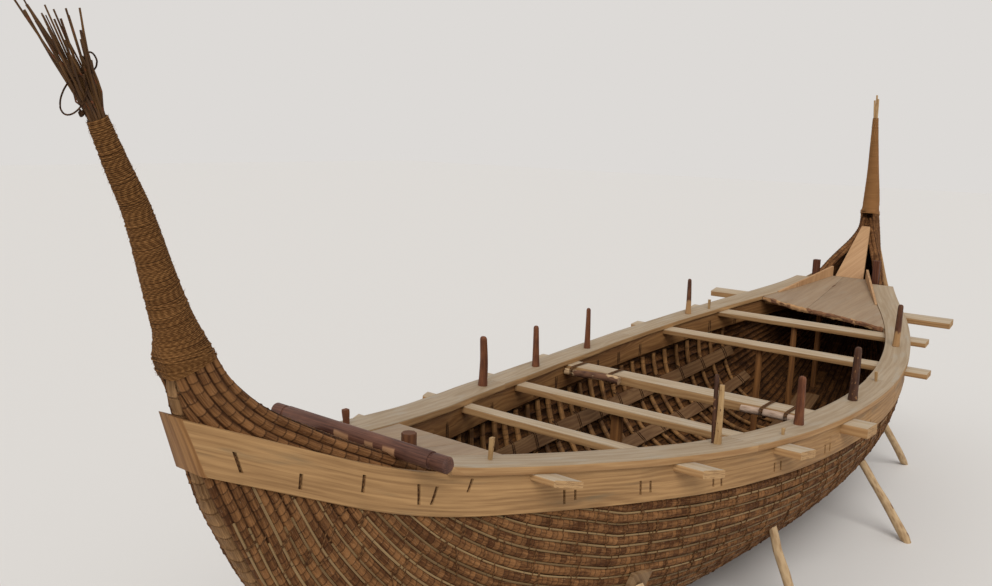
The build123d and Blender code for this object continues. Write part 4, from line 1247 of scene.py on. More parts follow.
def ribs():
    """Bent ribs, each one round bar from gunwale to gunwale over the keel."""
    shell = Shell()
    shares = np.linspace(0, 1, 46)
    for number in range(RIB_COUNT):
        x = RIB_FROM_X + RIB_SPACING * number
        wall = inner_section(x, RIB_SEAT * RIB_DEPTH, shares)
        half = wall[wall[:, 2] < float(sheer(x)) - INWALE_HEIGHT - RIB_CLEAR]
        half[0, 1] = 0
        path = np.concatenate([half[::-1], half[1:] * (1, -1, 1)])
        path[:, 0] = x + drift(len(path), 12, 0.006)
        tangent = unit_rows(np.gradient(path[:, 1:], axis=0))
        inward = np.stack([np.zeros(len(path)), -tangent[:, 1], tangent[:, 0]], -1)
        outline = rounded_box(RIB_WIDTH * random.uniform(0.85, 1.1), 1.05 * RIB_DEPTH, RIB_CORNER)
        rings = path[:, None] + outline[None, :, :1] * (1, 0, 0) + outline[None, :, 1:] * inward[:, None]
        shell.sweep(rings)
    return shell.piece("bent_ribs", "bent_wood", bent_wood, replaces=["ribs"])


# Stringers: the shares of the girth that each one covers, and its faces, in from the reed wall
STRINGER_SHARES = ((0.43, 0.51), (0.68, 0.76))
STRINGER_OUTER = 0.031
STRINGER_INNER = 0.053
STRINGER_SPAN = (-2.95, 3.00)
STRINGER_EASE = 0.04
TIE_R = 0.0045
TIE_SHIFTS = (-0.014, 0.012)
TIE_DEPTHS = np.array([0.012, 0.050, 0.058, 0.050, 0.012])


def stringers(side_name, side):
    """Two thin planks a side, bent along the ribs and tied down in pairs."""
    planks = Shell()
    ties = Shell()
    start, end = (np.interp(x, skin.rows[:, 0], skin.along) for x in STRINGER_SPAN)
    along = np.linspace(start, end, 90)
    for low, high in STRINGER_SHARES:
        section = ((low, STRINGER_OUTER), (high, STRINGER_OUTER), (high, STRINGER_INNER),
                   (low, STRINGER_INNER))
        corners = [inner_point(along, share, np.full(len(along), depth))[0] for share, depth in section]
        rings = np.stack(corners, 1)
        centre = rings.mean(1, keepdims=True)
        outline = [rings[:, [k]] * (1 - part) + rings[:, [(k + step) % 4]] * part
                   for k in range(4) for step, part in ((-1, STRINGER_EASE), (0, 0.0), (1, STRINGER_EASE))]
        outline = np.concatenate(outline, 1)
        outline = centre + (outline - centre) * (1 + drift(len(along), 8, 0.02)[:, None, None])
        planks.sweep(mirrored(outline, side), flip=side == PORT, end_finish=1)
        for number in range(0, RIB_COUNT, 2):
            x = RIB_FROM_X + RIB_SPACING * number
            place = np.interp(x, skin.rows[:, 0] * 0.5 + skin.rows[:, 2] * 0.5, skin.along)
            if not start < place < end:
                continue
            shares = np.array([low - 0.02, low - 0.004, (low + high) / 2, high + 0.004, high + 0.02])
            for shift in TIE_SHIFTS:
                path, _ = inner_point(np.full(5, place + shift), shares, TIE_DEPTHS)
                ties.tube(curve_through(mirrored(path, side), 9), TIE_R, sides=5)
    ties.piece(f"stringer_ties_{side_name}", "coir_binding", dark_rope)
    return planks.piece(f"stringer_planks_{side_name}", "inner_plank", warm_board, end_grain,
                        replaces=[f"stringers_{side_name}"])


KEELSON_SPAN = (-2.85, 3.05)
KEELSON_WIDTH = 0.230
KEELSON_THICK = 0.040
KEELSON_CLEAR = 0.002


def keelson():
    """Plank over the ribs along the middle of the bottom; gives back the height of its top."""
    xs = np.linspace(*KEELSON_SPAN, 90)
    seat = []
    for x in xs:
        wall = inner_section(x, RIB_DEPTH, np.linspace(0, 0.35, 20))
        seat.append(np.interp(KEELSON_WIDTH / 2, -wall[:, 1], wall[:, 2]))
    seat = np.array(seat) + KEELSON_CLEAR
    outline = rounded_box(KEELSON_WIDTH, KEELSON_THICK, BOARD_CORNER, parts=3)
    rings = rings_at(xs[:, None], outline[:, 0] + drift(len(xs), 9, 0.003)[:, None],
                     seat[:, None] + KEELSON_THICK / 2 + outline[:, 1])
    shell = Shell()
    shell.sweep(rings, flip=True, end_finish=1)
    shell.piece("keelson_plank", "inner_plank", warm_board, end_grain, replaces=["keelson"])
    return xs, seat + KEELSON_THICK


SQUARE_POST = rounded_box(0.068, 0.068, 0.008, parts=2)
ROUND_POST = rounded_box(0.058, 0.056, 0.022)
# Posts: the beam that each carries, counted from 0, its y and its section
STANCHIONS = (
    (2, 0.072, SQUARE_POST),
    (4, 0.065, ROUND_POST),
    (5, 0.050, ROUND_POST),
    (6, 0.027, ROUND_POST),
)


def stanchions(keelson_xs, keelson_tops):
    """Posts between the keelson and the beams."""
    shell = Shell()
    for index, y, outline in STANCHIONS:
        aft_x, _, width, height, _ = BEAMS[index]
        x = aft_x + width / 2
        foot = np.interp(x, keelson_xs, keelson_tops) - 0.004
        head = float(sheer(x)) - height + 0.002
        zs = np.linspace(foot, head, 14)
        wander = drift(len(zs), 4, 0.002, columns=2)
        rings = rings_at(x + outline[:, 0] + wander[:, :1], y + outline[:, 1] + wander[:, 1:], zs[:, None])
        shell.sweep(rings, flip=True)
    return shell.piece("stanchion_posts", "barked_pole", warm_post, replaces=["stanchions"])


# Lashed poles, pins and posts

# The widest beam carries a branch to port and a pole to starboard, both lashed to its aft face
MAST_BEAM = BEAMS[3]
BRANCH_Y = (0.512, 1.028)
BRANCH_R = 0.033
BRANCH_OUT = 0.040
POLE_Y = (-0.974, -0.510)
POLE_R = 0.030
POLE_OUT = 0.034
POLE_POINTS = 26
# Knots on the branch: place along it, how far round it they reach, how much thicker it is there
BRANCH_KNOTS = ((0.62, 0.05, 0.18), (0.20, 0.04, 0.10))
LASHING_YS = (0.60, 0.94, -0.68, -0.86)
LASHING_TURNS = 3
LASHING_APART = 0.010
LASHING_R = 0.0042


def mast_beam_poles():
    """Barked branch to port and pole to starboard, along the aft face of the widest beam."""
    aft_x, _, width, height, _ = MAST_BEAM
    middle_z = float(sheer(0)) - height / 2
    share = np.linspace(0, 1, POLE_POINTS)
    branch = Shell()
    path = np.stack([aft_x - BRANCH_OUT - 0.008 * np.sin(5 * share),
                     BRANCH_Y[0] + (BRANCH_Y[1] - BRANCH_Y[0]) * share,
                     middle_z + 0.012 * np.sin(4.4 * share + 0.6)], -1)
    knots = 1 + sum(more * np.exp(-((share - place) / reach) ** 2) for place, reach, more in BRANCH_KNOTS)
    radius = BRANCH_R * knots * (1 - 0.18 * share) + drift(POLE_POINTS, 3, 0.0011)
    branch.tube(path, radius, sides=12, end_finish=1)
    pole = Shell()
    path = np.stack([aft_x - POLE_OUT - 0.003 * share,
                     POLE_Y[0] + (POLE_Y[1] - POLE_Y[0]) * share,
                     middle_z + 0.004 * np.sin(3 * share)], -1)
    radius = POLE_R - 0.003 * share + drift(POLE_POINTS, 4, 0.0008)
    pole.tube(path, radius, sides=12, end_finish=1)
    ropes = Shell()
    around = np.linspace(0, 2 * pi, 28)
    middle_x = aft_x + width / 2 - POLE_OUT
    x = middle_x + (width / 2 + 0.038) * np.sign(np.cos(around)) * np.abs(np.cos(around)) ** 0.35
    z = middle_z + (height / 2 + 0.006) * np.sign(np.sin(around)) * np.abs(np.sin(around)) ** 0.45
    for y in LASHING_YS:
        for turn in range(LASHING_TURNS):
            wander = drift(len(around), 6, 0.0015)
            ropes.tube(rings_at(x, y + LASHING_APART * turn + wander, z), LASHING_R, sides=5)
    branch.piece("lashed_branch_bark", "barked_pole", bark, pale_cut, replaces=["lashed_branch"])
    pole.piece("lashed_pole_bark", "barked_pole", grey_pole, pale_cut, replaces=["lashed_pole"])
    ropes.piece("mast_beam_lashings", "coir_binding", sewing_rope)


THOLE_XS = (-1.310, -0.413, 0.484, 2.183)
THOLE_INSET = 0.100
THOLE_HEIGHTS = (0.420, 0.330, 0.400, 0.375)
# Pins of each side from aft. Columns: side, number, foot radius, tip radius, share of its height
# in THOLE_HEIGHTS, bend, faces, and finish (0 pale, 1 red, 2 two-tone, 3 dark)
THOLES = (
    (STARBOARD, 0, 0.024, 0.016, 0.86, 0.003, 7, 0),
    (STARBOARD, 1, 0.031, 0.023, 1.00, 0.003, 8, 1),
    (STARBOARD, 2, 0.031, 0.023, 1.00, 0.005, 8, 3),
    (STARBOARD, 3, 0.030, 0.022, 1.00, 0.004, 8, 2),
    (PORT, 0, 0.033, 0.024, 0.86, 0.012, 10, 1),
    (PORT, 1, 0.030, 0.021, 1.00, 0.003, 8, 1),
    (PORT, 2, 0.030, 0.020, 0.90, 0.003, 8, 1),
    (PORT, 3, 0.030, 0.020, 0.95, 0.005, 8, 2),
)
THOLE_SUNK = 0.040
# Tips: a pale pin is cut off square, the others are rounded
CUT_TIP = (1.0, 1.0, 0.92)
ROUND_TIP = (0.90, 0.70, 0.40)
# Dark strip beside the aft pin to starboard: heights over the cap board and radii
STRIP_HEIGHTS = np.array([-0.030, 0.05, 0.13, 0.25, 0.37, 0.405, 0.418, 0.420])
STRIP_RADII = np.array([0.010, 0.012, 0.015, 0.014, 0.014, 0.014, 0.009, 0.003])
STRIP_AFT = 0.012
STRIP_IN = 0.017


def thole_pins():
    """Eight hewn pins, each with its own taper, bend and wood, and a strip beside one of them."""
    shell = Shell()
    share = np.append(np.linspace(0, 0.95, 14), (0.975, 0.992, 1.0))
    for side, index, foot_r, tip_r, tall, bow, faces, finish in THOLES:
        x = THOLE_XS[index]
        y = side * float(half_breadth(x) - THOLE_INSET)
        base = float(sheer(x)) + CAP_THICK
        zs = base - THOLE_SUNK + (tall * THOLE_HEIGHTS[index] + THOLE_SUNK) * share
        flare = 0.003 * np.exp(-((share - 0.12) / 0.07) ** 2)
        radius = foot_r + (tip_r - foot_r) * share + flare
        radius[-3:] *= ROUND_TIP if finish else CUT_TIP
        angle = full_turn(faces) + random.uniform(0, 1)
        facet = 1 + random.normal(0, 0.06, faces)
        lean_x, lean_y = random.normal(0, 0.008, 2)
        centre_x = (x + bow * np.sin(pi * share) + lean_x * share)[:, None]
        centre_y = (y + lean_y * share)[:, None]
        reach = radius[:, None] * facet * (1 + drift(len(share), 3, 0.02, columns=faces))
        rings = rings_at(centre_x + reach * np.cos(angle), centre_y + reach * np.sin(angle), zs[:, None])
        shell.sweep(rings, along=zs - base, flip=True, finish=finish, end_finish=finish)
    x = THOLE_XS[0] - STRIP_AFT
    y = -float(half_breadth(x) - THOLE_INSET) + STRIP_IN
    base = float(sheer(x)) + CAP_THICK
    lean = 0.004 * np.linspace(0, 1, len(STRIP_HEIGHTS))
    shell.tube(np.stack([x - lean, y + lean, STRIP_HEIGHTS + base], -1), STRIP_RADII, sides=8, finish=3,
               end_finish=3)
    return shell.piece("hewn_thole_pins", "peg_wood", pale_peg, red_peg, two_tone_peg, dark_peg,
                       replaces=["thole_pins"], crease=28)


# Pegs in the cap boards. Columns: x, y, half width, height, finish (0 pale, 1 red)
CAP_PEGS = (
    (-3.040, 0.420, 0.016, 0.080, 1),
    (-2.881, -0.414, 0.011, 0.110, 0),
    (-0.744, -1.080, 0.011, 0.042, 0),
    (1.110, -1.136, 0.012, 0.074, 0),
    (2.449, 0.900, 0.012, 0.095, 0),
)
PEG_SUNK = 0.006


def cap_pegs():
    """Short wedges and pegs driven into the cap boards."""
    shell = Shell()
    share = np.linspace(0, 1, 6)
    for x, y, half, height, finish in CAP_PEGS:
        base = float(sheer(x)) + CAP_THICK - PEG_SUNK
        outline = rounded_box(2 * half, 1.7 * half, 0.25 * half)
        size = (0.85 + 0.25 * share + drift(len(share), 2, 0.02))[:, None]
        lean_x, lean_y = random.normal(0, 0.05, 2)
        rings = rings_at(x + lean_x * share[:, None] * height + outline[:, 0] * size,
                         y + lean_y * share[:, None] * height + outline[:, 1] * size,
                         (base + share * (height + PEG_SUNK))[:, None])
        shell.sweep(rings, flip=True, finish=finish, end_finish=finish)
    return shell.piece("cap_peg_set", "peg_wood", pale_peg, red_peg, two_tone_peg, replaces=["cap_pegs"])


PROP_FEET = (-2.150, -0.440, 1.263, 3.139)
PROP_R = 0.0345
PROP_THINS = 0.004
PROP_SIDES = 12
PROP_POINTS = 20
PROP_REACH = 0.45


def props(side_name):
    """Peeled poles that hold the hull upright, thicker at the foot, with sawn tops."""
    node = f"props_{side_name}"
    shell = Shell()
    corners = np.array([corner.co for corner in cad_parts[node].data.vertices])
    share = np.linspace(0, 1, PROP_POINTS)[:, None]
    angle = full_turn(PROP_SIDES)
    for foot_x in PROP_FEET:
        near = corners[np.abs(corners[:, 0] - foot_x) < PROP_REACH]
        low = near[near[:, 2] < 0.02]
        high = near[near[:, 2] > near[:, 2].max() - 0.09]
        foot = (low.min(0) + low.max(0)) / 2
        head = (high.min(0) + high.max(0)) / 2
        foot[2] = 0
        path = foot + (head - foot) * share + drift(PROP_POINTS, 6, 0.004, columns=3) * np.sin(pi * share)
        radius = PROP_R - PROP_THINS * share[:, 0] + drift(PROP_POINTS, 4, 0.0012)
        run = (head - foot) / np.linalg.norm(head - foot)
        across = np.cross(run, (0, 0, 1.0))
        across /= np.linalg.norm(across)
        facet = 1 + random.normal(0, 0.03, PROP_SIDES)
        reach = (radius[:, None] * facet)[..., None]
        rings = round_rings(path, across[None], np.cross(across, run)[None], reach, angle)
        rings[0, :, 2] = 0
        shell.sweep(rings, flip=True, end_finish=1)
    return shell.piece(f"peeled_props_{side_name}", "prop_timber", peeled_pole, pale_cut, replaces=[node])


# Aft edge of the wide bow board: x and y
BOW_DECK_EDGE = [(3.140, 0.620), (2.960, 0.160), (2.870, -0.220), (2.785, -0.480), (2.680, -0.760)]
BARK_SIDES = 10
BARK_OUT = 0.012
BARK_HALF_HEIGHT = 0.023
BARK_MIDDLE = 0.021
CLEAR_OF_CAP = 0.200


def bow_deck_bark():
    """Red bark left on the live aft edge of the wide bow board."""
    edge = curve_through(np.array(BOW_DECK_EDGE), 90)
    edge = edge[np.abs(edge[:, 1]) < half_breadth(edge[:, 0]) - CLEAR_OF_CAP]
    wander = drift(len(edge), 2, 0.006)
    angle = full_turn(BARK_SIDES)
    lumps = 1 + drift(len(edge), 2, 0.18, columns=BARK_SIDES)
    z = main_sheer(edge[:, 0]) + BARK_MIDDLE
    rings = rings_at(edge[:, :1] - 0.004 + wander[:, None] + BARK_OUT * lumps * np.cos(angle), edge[:, 1:],
                     z[:, None] + BARK_HALF_HEIGHT * lumps * np.sin(angle) - 0.002)
    shell = Shell()
    shell.sweep(rings, flip=True)
    return shell.piece("bow_deck_bark", "deck_board", red_bark)


# Nodes of the frame that keep their solids

WELD_REACH = 0.00005
BEVEL_PAST = radians(35)


def dress(node, finish, edge=0.0035):
    """Gives a CAD solid its finish and eased edges."""
    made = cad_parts[node]
    made.data.materials.clear()
    made.data.materials.append(finish)
    weld = made.modifiers.new("weld", "WELD")
    weld.merge_threshold = WELD_REACH
    bevel = made.modifiers.new("eased_edges", "BEVEL")
    bevel.width = edge
    bevel.segments = 2
    bevel.limit_method = "ANGLE"
    bevel.angle_limit = BEVEL_PAST
    bevel.harden_normals = False


# Finishes

def tint(red, green, blue):
    """Colour as it looks on a screen, 0 to 255, for a shader."""
    screen = np.array([red, green, blue]) / 255
    linear = np.where(screen <= 0.04045, screen / 12.92, ((screen + 0.055) / 1.055) ** 2.4)
    return (*linear.tolist(), 1.0)


class Value:
    """A socket of a finish, used in plain arithmetic."""

    def __init__(self, finish, socket):
        self.finish = finish
        self.socket = socket

    def _math(self, operation, *values):
        return self.finish.node("ShaderNodeMath", {"operation": operation}, dict(enumerate(values)))

    def __add__(self, other):
        return self._math("ADD", self, other)

    __radd__ = __add__

    def __sub__(self, other):
        return self._math("SUBTRACT", self, other)

    def __rsub__(self, other):
        return self._math("SUBTRACT", other, self)

    def __mul__(self, other):
        return self._math("MULTIPLY", self, other)

    __rmul__ = __mul__

    def __truediv__(self, other):
        return self._math("DIVIDE", self, other)

    def __pow__(self, other):
        return self._math("POWER", self, other)

    def floor(self):
        """Whole number below."""
        return self._math("FLOOR", self)

    def fraction(self):
        """Part past the whole number below."""
        return self._math("FRACT", self)

    def size(self):
        """Value without its sign."""
        return self._math("ABSOLUTE", self)

    def sine(self):
        """Sine of the value, in radians."""
        return self._math("SINE", self)

    def step(self, low, high):
        """Eases from 0 at low to 1 at high."""
        return self.finish.node(
            "ShaderNodeMapRange", {"interpolation_type": "SMOOTHSTEP"},
            {"Value": self, "From Min": low, "From Max": high})


class Finish:
    """One material, built from expressions."""

    def __init__(self, name, **constants):
        self.material = bpy.data.materials.new(name)
        self.material.use_nodes = True
        self.tree = self.material.node_tree
        self.shader = self.tree.nodes["Principled BSDF"]
        for socket, value in constants.items():
            self.shader.inputs[socket.replace("_", " ")].default_value = value

    def node(self, kind, settings, values, output=0):
        """A node with its settings set first, then the values or links of its sockets."""
        made = self.tree.nodes.new(kind)
        for name, value in settings.items():
            setattr(made, name, value)
        for name, value in values.items():
            socket = made.inputs[name]
            if isinstance(value, Value):
                self.tree.links.new(value.socket, socket)
            else:
                socket.default_value = value
        return Value(self, made.outputs[output])

    def mix(self, factor, a, b):
        """Colour between a and b."""
        return self.node("ShaderNodeMix", {"data_type": "RGBA"}, {0: factor, 6: a, 7: b}, output=2)

    def darken(self, factor, colour, shade):
        """Colour multiplied by a shade, as far as the factor says."""
        return self.node("ShaderNodeMix", {"data_type": "RGBA", "blend_type": "MULTIPLY"},
                         {0: factor, 6: colour, 7: shade}, output=2)

    def vector(self, x, y, z=0.0):
        """Vector from three numbers or values."""
        return self.node("ShaderNodeCombineXYZ", {}, {"X": x, "Y": y, "Z": z})

    def uv(self):
        """Distances along and around a piece."""
        point = self.node("ShaderNodeUVMap", {"uv_map": "UVMap"}, {})
        return (self.node("ShaderNodeSeparateXYZ", {}, {0: point}, "X"),
                self.node("ShaderNodeSeparateXYZ", {}, {0: point}, "Y"))

    def place(self):
        """Position on the boat, in metres."""
        point = self.node("ShaderNodeTexCoord", {}, {}, "Object")
        return tuple(self.node("ShaderNodeSeparateXYZ", {}, {0: point}, axis) for axis in "XYZ")

    def noise(self, vector, detail=3.0, roughness=0.55):
        """Soft random value of a vector."""
        return self.node("ShaderNodeTexNoise", {}, {"Vector": vector, "Scale": 1.0, "Detail": detail,
                                                    "Roughness": roughness, "Distortion": 0.0})

    def chance(self, vector):
        """Random number from 0 to 1 for each different vector."""
        return self.node("ShaderNodeTexWhiteNoise", {"noise_dimensions": "3D"}, {"Vector": vector}, "Value")

    def cells(self, vector, output="Distance"):
        """Distance to the middle of the cell that a vector falls in, or that middle."""
        return self.node("ShaderNodeTexVoronoi", {}, {"Vector": vector, "Scale": 1.0}, output)

    def finish(self, colour, roughness=None, height=None, depth=0.002):
        """Feeds the shader and returns the material."""
        for name, value in (("Base Color", colour), ("Roughness", roughness)):
            if isinstance(value, Value):
                self.tree.links.new(value.socket, self.shader.inputs[name])
            elif value is not None:
                self.shader.inputs[name].default_value = value
        if height is not None:
            bump = self.node("ShaderNodeBump", {}, {"Strength": 1.0, "Distance": depth, "Height": height})
            self.tree.links.new(bump.socket, self.shader.inputs["Normal"])
        return self.material


RING_HALF = 0.024
RING_FADES = 0.084


# In a reed finish, pale is the colour of the painted glints, and groove is the colour of the painted shade in
# the grooves
def reed_finish(name, dark, straw, pale, ring, groove):
    """Bundled reeds: culm lines along, a tone for each stretch between rings, dark rope rings, painted
    glints, and painted shade in the grooves between bundles.
    """
    made = Finish(name, Specular_IOR_Level=0.15)
    u, v = made.uv()
    culm_lines = made.noise(made.vector(u * 0.35, v * 30), detail=4, roughness=0.65)
    broad_lines = made.noise(made.vector(u * 0.5, v * 6, 2.0), detail=2)
    patches = made.noise(made.vector(u * 0.16, v * 1.3, 5.0), detail=2)
    cell = made.chance(made.vector(u.floor(), v.floor(), 3.0))
    row = made.chance(made.vector(7.0, v.floor(), 1.0))
    tone = ((culm_lines - 0.5) * 1.4 + (broad_lines - 0.5) * 1.1 + (cell - 0.5) * 0.30 + (row - 0.5) * 0.20
            + (patches - 0.5) * 0.9 + 0.5)
    colour = made.mix(tone.step(0.12, 0.9), dark, straw)
    # Painted highlight: small pale glints on the reeds, mixed in with the pale colour
    painted_glints = made.noise(made.vector(u * 1.3, v * 24, 11.0), detail=1).step(0.66, 0.74)
    colour = made.mix(painted_glints * (0.25 + patches * 0.5), colour, pale)
    to_ring = ((u + 0.5).fraction() - 0.5).size()
    on_ring = 1 - to_ring.step(RING_HALF, RING_FADES)
    whole = made.noise(made.vector(u.floor() * 3.7, v * 3.1, 4.0), detail=1).step(0.36, 0.46)
    strand = ((u * 60 + v * 90).sine() * 0.5 + 0.5) * on_ring
    colour = made.mix(on_ring * (0.20 + whole * 0.38), colour, ring)
    # Painted shade: the colour darkens towards each bundle's edges, where the grooves between bundles lie
    painted_groove_shade = ((v.fraction() - 0.5).size() * 2).step(0.66, 1.0)
    colour = made.darken(painted_groove_shade * 0.68, colour, groove)
    return made.finish(colour, 0.68 + 0.25 * culm_lines, culm_lines + strand * 0.6 + cell * 0.3, depth=0.0035)


def rope_finish(name, dark, pale):
    """Twisted coir: slanting strands and fibres that catch light."""
    made = Finish(name, Specular_IOR_Level=0.15)
    u, v = made.uv()
    strand = (u * 260 + v * 420).sine() * 0.5 + 0.5
    fibre = made.noise(made.vector(u * 260, v * 420), detail=2)
    patch = made.noise(made.vector(u * 3.5, v * 4), detail=3)
    tone = strand * 0.25 + fibre * 0.5 + (patch - 0.5) * 0.9
    return made.finish(made.mix(tone.step(0.1, 0.9), dark, pale), 0.9, strand + fibre * 0.5, depth=0.0015)


KNOT_COLOUR = tint(92, 58, 34)


def wood_finish(name, pale, dark, grain="uv", knots=0.5, stain=None, swirl=1.0, wear=None, lines=60.0,
                figure=0.30):
    """Sawn or planed wood: grain lines that bend round knots, with stains and worn patches.

    The grain runs along a piece's u, or along one axis of the boat. knots is the share of places
    that have a knot, lines the grain lines per metre, and swirl and figure say how much they
    wander and how strongly they show.
    """
    made = Finish(name, Specular_IOR_Level=0.25)
    if grain == "uv":
        u, across = made.uv()
    else:
        x, y, z = made.place()
        u, v, w = {"x": (x, y, z), "y": (y, x, z), "z": (z, x, y)}[grain]
        across = v + w * 0.9
    slow = made.noise(made.vector(u * 0.9, across * 5.0, 2.0), detail=2)
    knot_place = made.vector(u * 1.9 + slow * 0.4, across * 7.5, 9.0)
    to_knot = made.cells(knot_place)
    has_knot = made.chance(made.cells(knot_place, output="Position")).step(1.0 - knots, 1.001 - knots)
    knot = (1 - to_knot.step(0.045, 0.11)) * has_knot
    pull = (1 - to_knot.step(0.05, 0.55)) * has_knot
    lines_at = across * lines + (slow - 0.5) * 14 * swirl + pull * 4.5 * swirl
    ring = (lines_at * 2.2 + made.noise(made.vector(u * 2.5, across * 30), detail=2) * 5).sine() * 0.5 + 0.5
    pores = made.noise(made.vector(u * 9, across * 420, 1.0))
    streaks = made.noise(made.vector(u * 2.2, across * 90, 4.0))
    tone = ring * figure + pores * 0.45 + streaks * 0.7 + (slow - 0.5) * 0.8 + pull * 0.18
    colour = made.mix(tone.step(0.12, 1.05), pale, dark)
    if stain is not None:
        blotch = made.noise(made.vector(u * 1.6, across * 9, 21.0), detail=4).step(0.56, 0.74)
        colour = made.mix(blotch * 0.55, colour, stain)
    if wear is not None:
        rubbed = made.noise(made.vector(u * 3.1, across * 14, 33.0), detail=4).step(0.5, 0.72)
        colour = made.mix(rubbed * 0.6, colour, wear)
    colour = made.mix(knot * 0.9, colour, KNOT_COLOUR)
    height = pores * 0.5 + ring * 0.35 - knot * 0.4
    return made.finish(colour, 0.55 + 0.2 * pores, height, depth=0.0012)


def end_grain_finish(name, pale, dark):
    """Sawn ends with growth rings and drying cracks."""
    made = Finish(name, Roughness=0.8)
    u, v = made.uv()
    bend = made.noise(made.vector(u * 12, v * 12), detail=2)
    from_heart = ((u - 0.04) * (u - 0.04) + (v + 0.05) * (v + 0.05)) ** 0.5
    ring = (from_heart * 900 + bend * 9).sine() * 0.5 + 0.5
    crack = 1 - (made.noise(made.vector(u * 4, v * 60, 3.0), detail=2) - 0.5).size().step(0.0, 0.03)
    colour = made.mix(ring * 0.5 + bend * 0.4, pale, dark)
    colour = made.darken(crack * 0.6, colour, tint(120, 90, 64))
    return made.finish(colour, 0.85, ring, depth=0.0008)


def bark_finish(name, dark, middle, pale, peel=0.2):
    """Rough bark with peeled pale places."""
    made = Finish(name, Roughness=0.9)
    u, v = made.uv()
    plates = made.cells(made.vector(u * 14, v * 44))
    rough = made.noise(made.vector(u * 20, v * 70), detail=5)
    colour = made.mix((plates * 0.7 + rough * 0.6).step(0.2, 0.9), dark, middle)
    bare = made.noise(made.vector(u * 5, v * 11, 8.0), detail=3).step(0.68 - peel, 0.74 - peel)
    colour = made.mix(bare, colour, pale)
    return made.finish(colour, 0.9, rough + plates * 0.8 - bare, depth=0.004)


def cane_finish():
    """Split cane: smooth, jointed, straw to khaki."""
    made = Finish("split_cane", Specular_IOR_Level=0.25)
    u, v = made.uv()
    stick = made.chance(made.vector((u / ELEMENT_STEP).floor(), 2.0, 2.0))
    streak = made.noise(made.vector(u * 3, v * 300), detail=3)
    tone = streak * 0.6 + stick * 0.3 + (made.noise(made.vector(u * 1.4, 3.0), detail=2) - 0.5) * 0.9
    colour = made.mix(tone.step(0.1, 0.9), tint(92, 68, 38), tint(158, 130, 90))
    joint = 1 - (((u * 3.1 + stick).fraction() - 0.5).size() * 2).step(0.0, 0.03)
    colour = made.darken(joint * 0.7, colour, tint(80, 56, 36))
    return made.finish(colour, 0.55, streak, depth=0.0008)


def bent_rib_finish():
    """Round ribs bent green: smooth, mottled brown, with darker joints."""
    made = Finish("bent_rib_wood", Specular_IOR_Level=0.3)
    u, v = made.uv()
    mottle = made.noise(made.vector(u * 9, v * 14, 1.0), detail=4)
    streak = made.noise(made.vector(u * 3, v * 120, 2.0), detail=3)
    tone = mottle * 0.9 + streak * 0.4
    colour = made.mix(tone.step(0.35, 0.95), tint(84, 54, 28), tint(156, 112, 64))
    node = 1 - (made.noise(made.vector(u * 6, 4.0), detail=1) - 0.5).size().step(0.0, 0.02)
    colour = made.darken(node * 0.5, colour, tint(110, 78, 50))
    return made.finish(colour, 0.5 + 0.3 * mottle, streak, depth=0.001)


def peg_finish(name, low, high, split=None, chips=None):
    """Hewn peg: knife flats and grain along, darker or paler towards the tip."""
    made = Finish(name, Specular_IOR_Level=0.3)
    u, v = made.uv()
    streak = made.noise(made.vector(u * 8, v * 240), detail=4)
    patch = made.noise(made.vector(u * 9, v * 22, 6.0), detail=3)
    colour = made.mix((streak * 0.8 + (patch - 0.5)).step(0.1, 0.9), low, high)
    if split is not None:
        edge = (u.fraction() + (patch - 0.5) * 0.16).step(0.115, 0.145)
        colour = made.mix(1 - edge, colour, split)
    if chips is not None:
        chipped = made.noise(made.vector(u * 26, v * 46, 2.0), detail=2).step(0.62, 0.68)
        colour = made.mix(chipped, colour, chips)
    return made.finish(colour, 0.5 + 0.3 * streak, streak + patch * 0.4, depth=0.0015)


# Places of pale sapwood on the turned beam: y of the middle, half width; and how high they reach
SAPWOOD = ((0.06, 0.050), (-0.12, 0.030), (-0.25, 0.045))
SAPWOOD_TOP = 1.762


def turned_finish():
    """Dark turned beam with three small places of pale sapwood low on its front."""
    made = Finish("turned_dark_wood", Specular_IOR_Level=0.3)
    x, y, z = made.place()
    streak = made.noise(made.vector(y * 5, x * 160, z * 160), detail=4)
    patch = made.noise(made.vector(y * 4.5, x * 9, z * 9), detail=3)
    tone = streak * 0.9 + (patch - 0.5) * 0.8
    colour = made.mix(tone.step(0.15, 0.9), tint(62, 36, 27), tint(118, 78, 60))
    low = 1 - (z + (patch - 0.5) * 0.03).step(SAPWOOD_TOP - 0.006, SAPWOOD_TOP + 0.006)
    for middle, half in SAPWOOD:
        near = 1 - (y - middle + (patch - 0.5) * 0.05).size().step(half * 0.8, half)
        colour = made.mix(near * low * 0.85, colour, tint(172, 130, 94))
    return made.finish(colour, 0.42 + 0.3 * streak, streak, depth=0.0015)


# Reed finishes: the third colour is for the painted glints, the last for the painted shade in the grooves
reeds = reed_finish("bound_reeds", tint(74, 43, 20), tint(140, 97, 58), tint(186, 148, 112), tint(64, 38, 18),
                    tint(84, 56, 32))
lining_reeds = reed_finish("lining_reeds", tint(48, 26, 10), tint(106, 68, 34), tint(140, 100, 58),
                           tint(42, 24, 10), tint(90, 62, 40))
leading_reeds = reed_finish("leading_reeds", tint(88, 60, 34), tint(146, 111, 74), tint(184, 150, 112),
                            tint(74, 46, 22), tint(150, 120, 90))
cane = cane_finish()
coir = rope_finish("coir_winding", tint(86, 54, 24), tint(150, 107, 62))
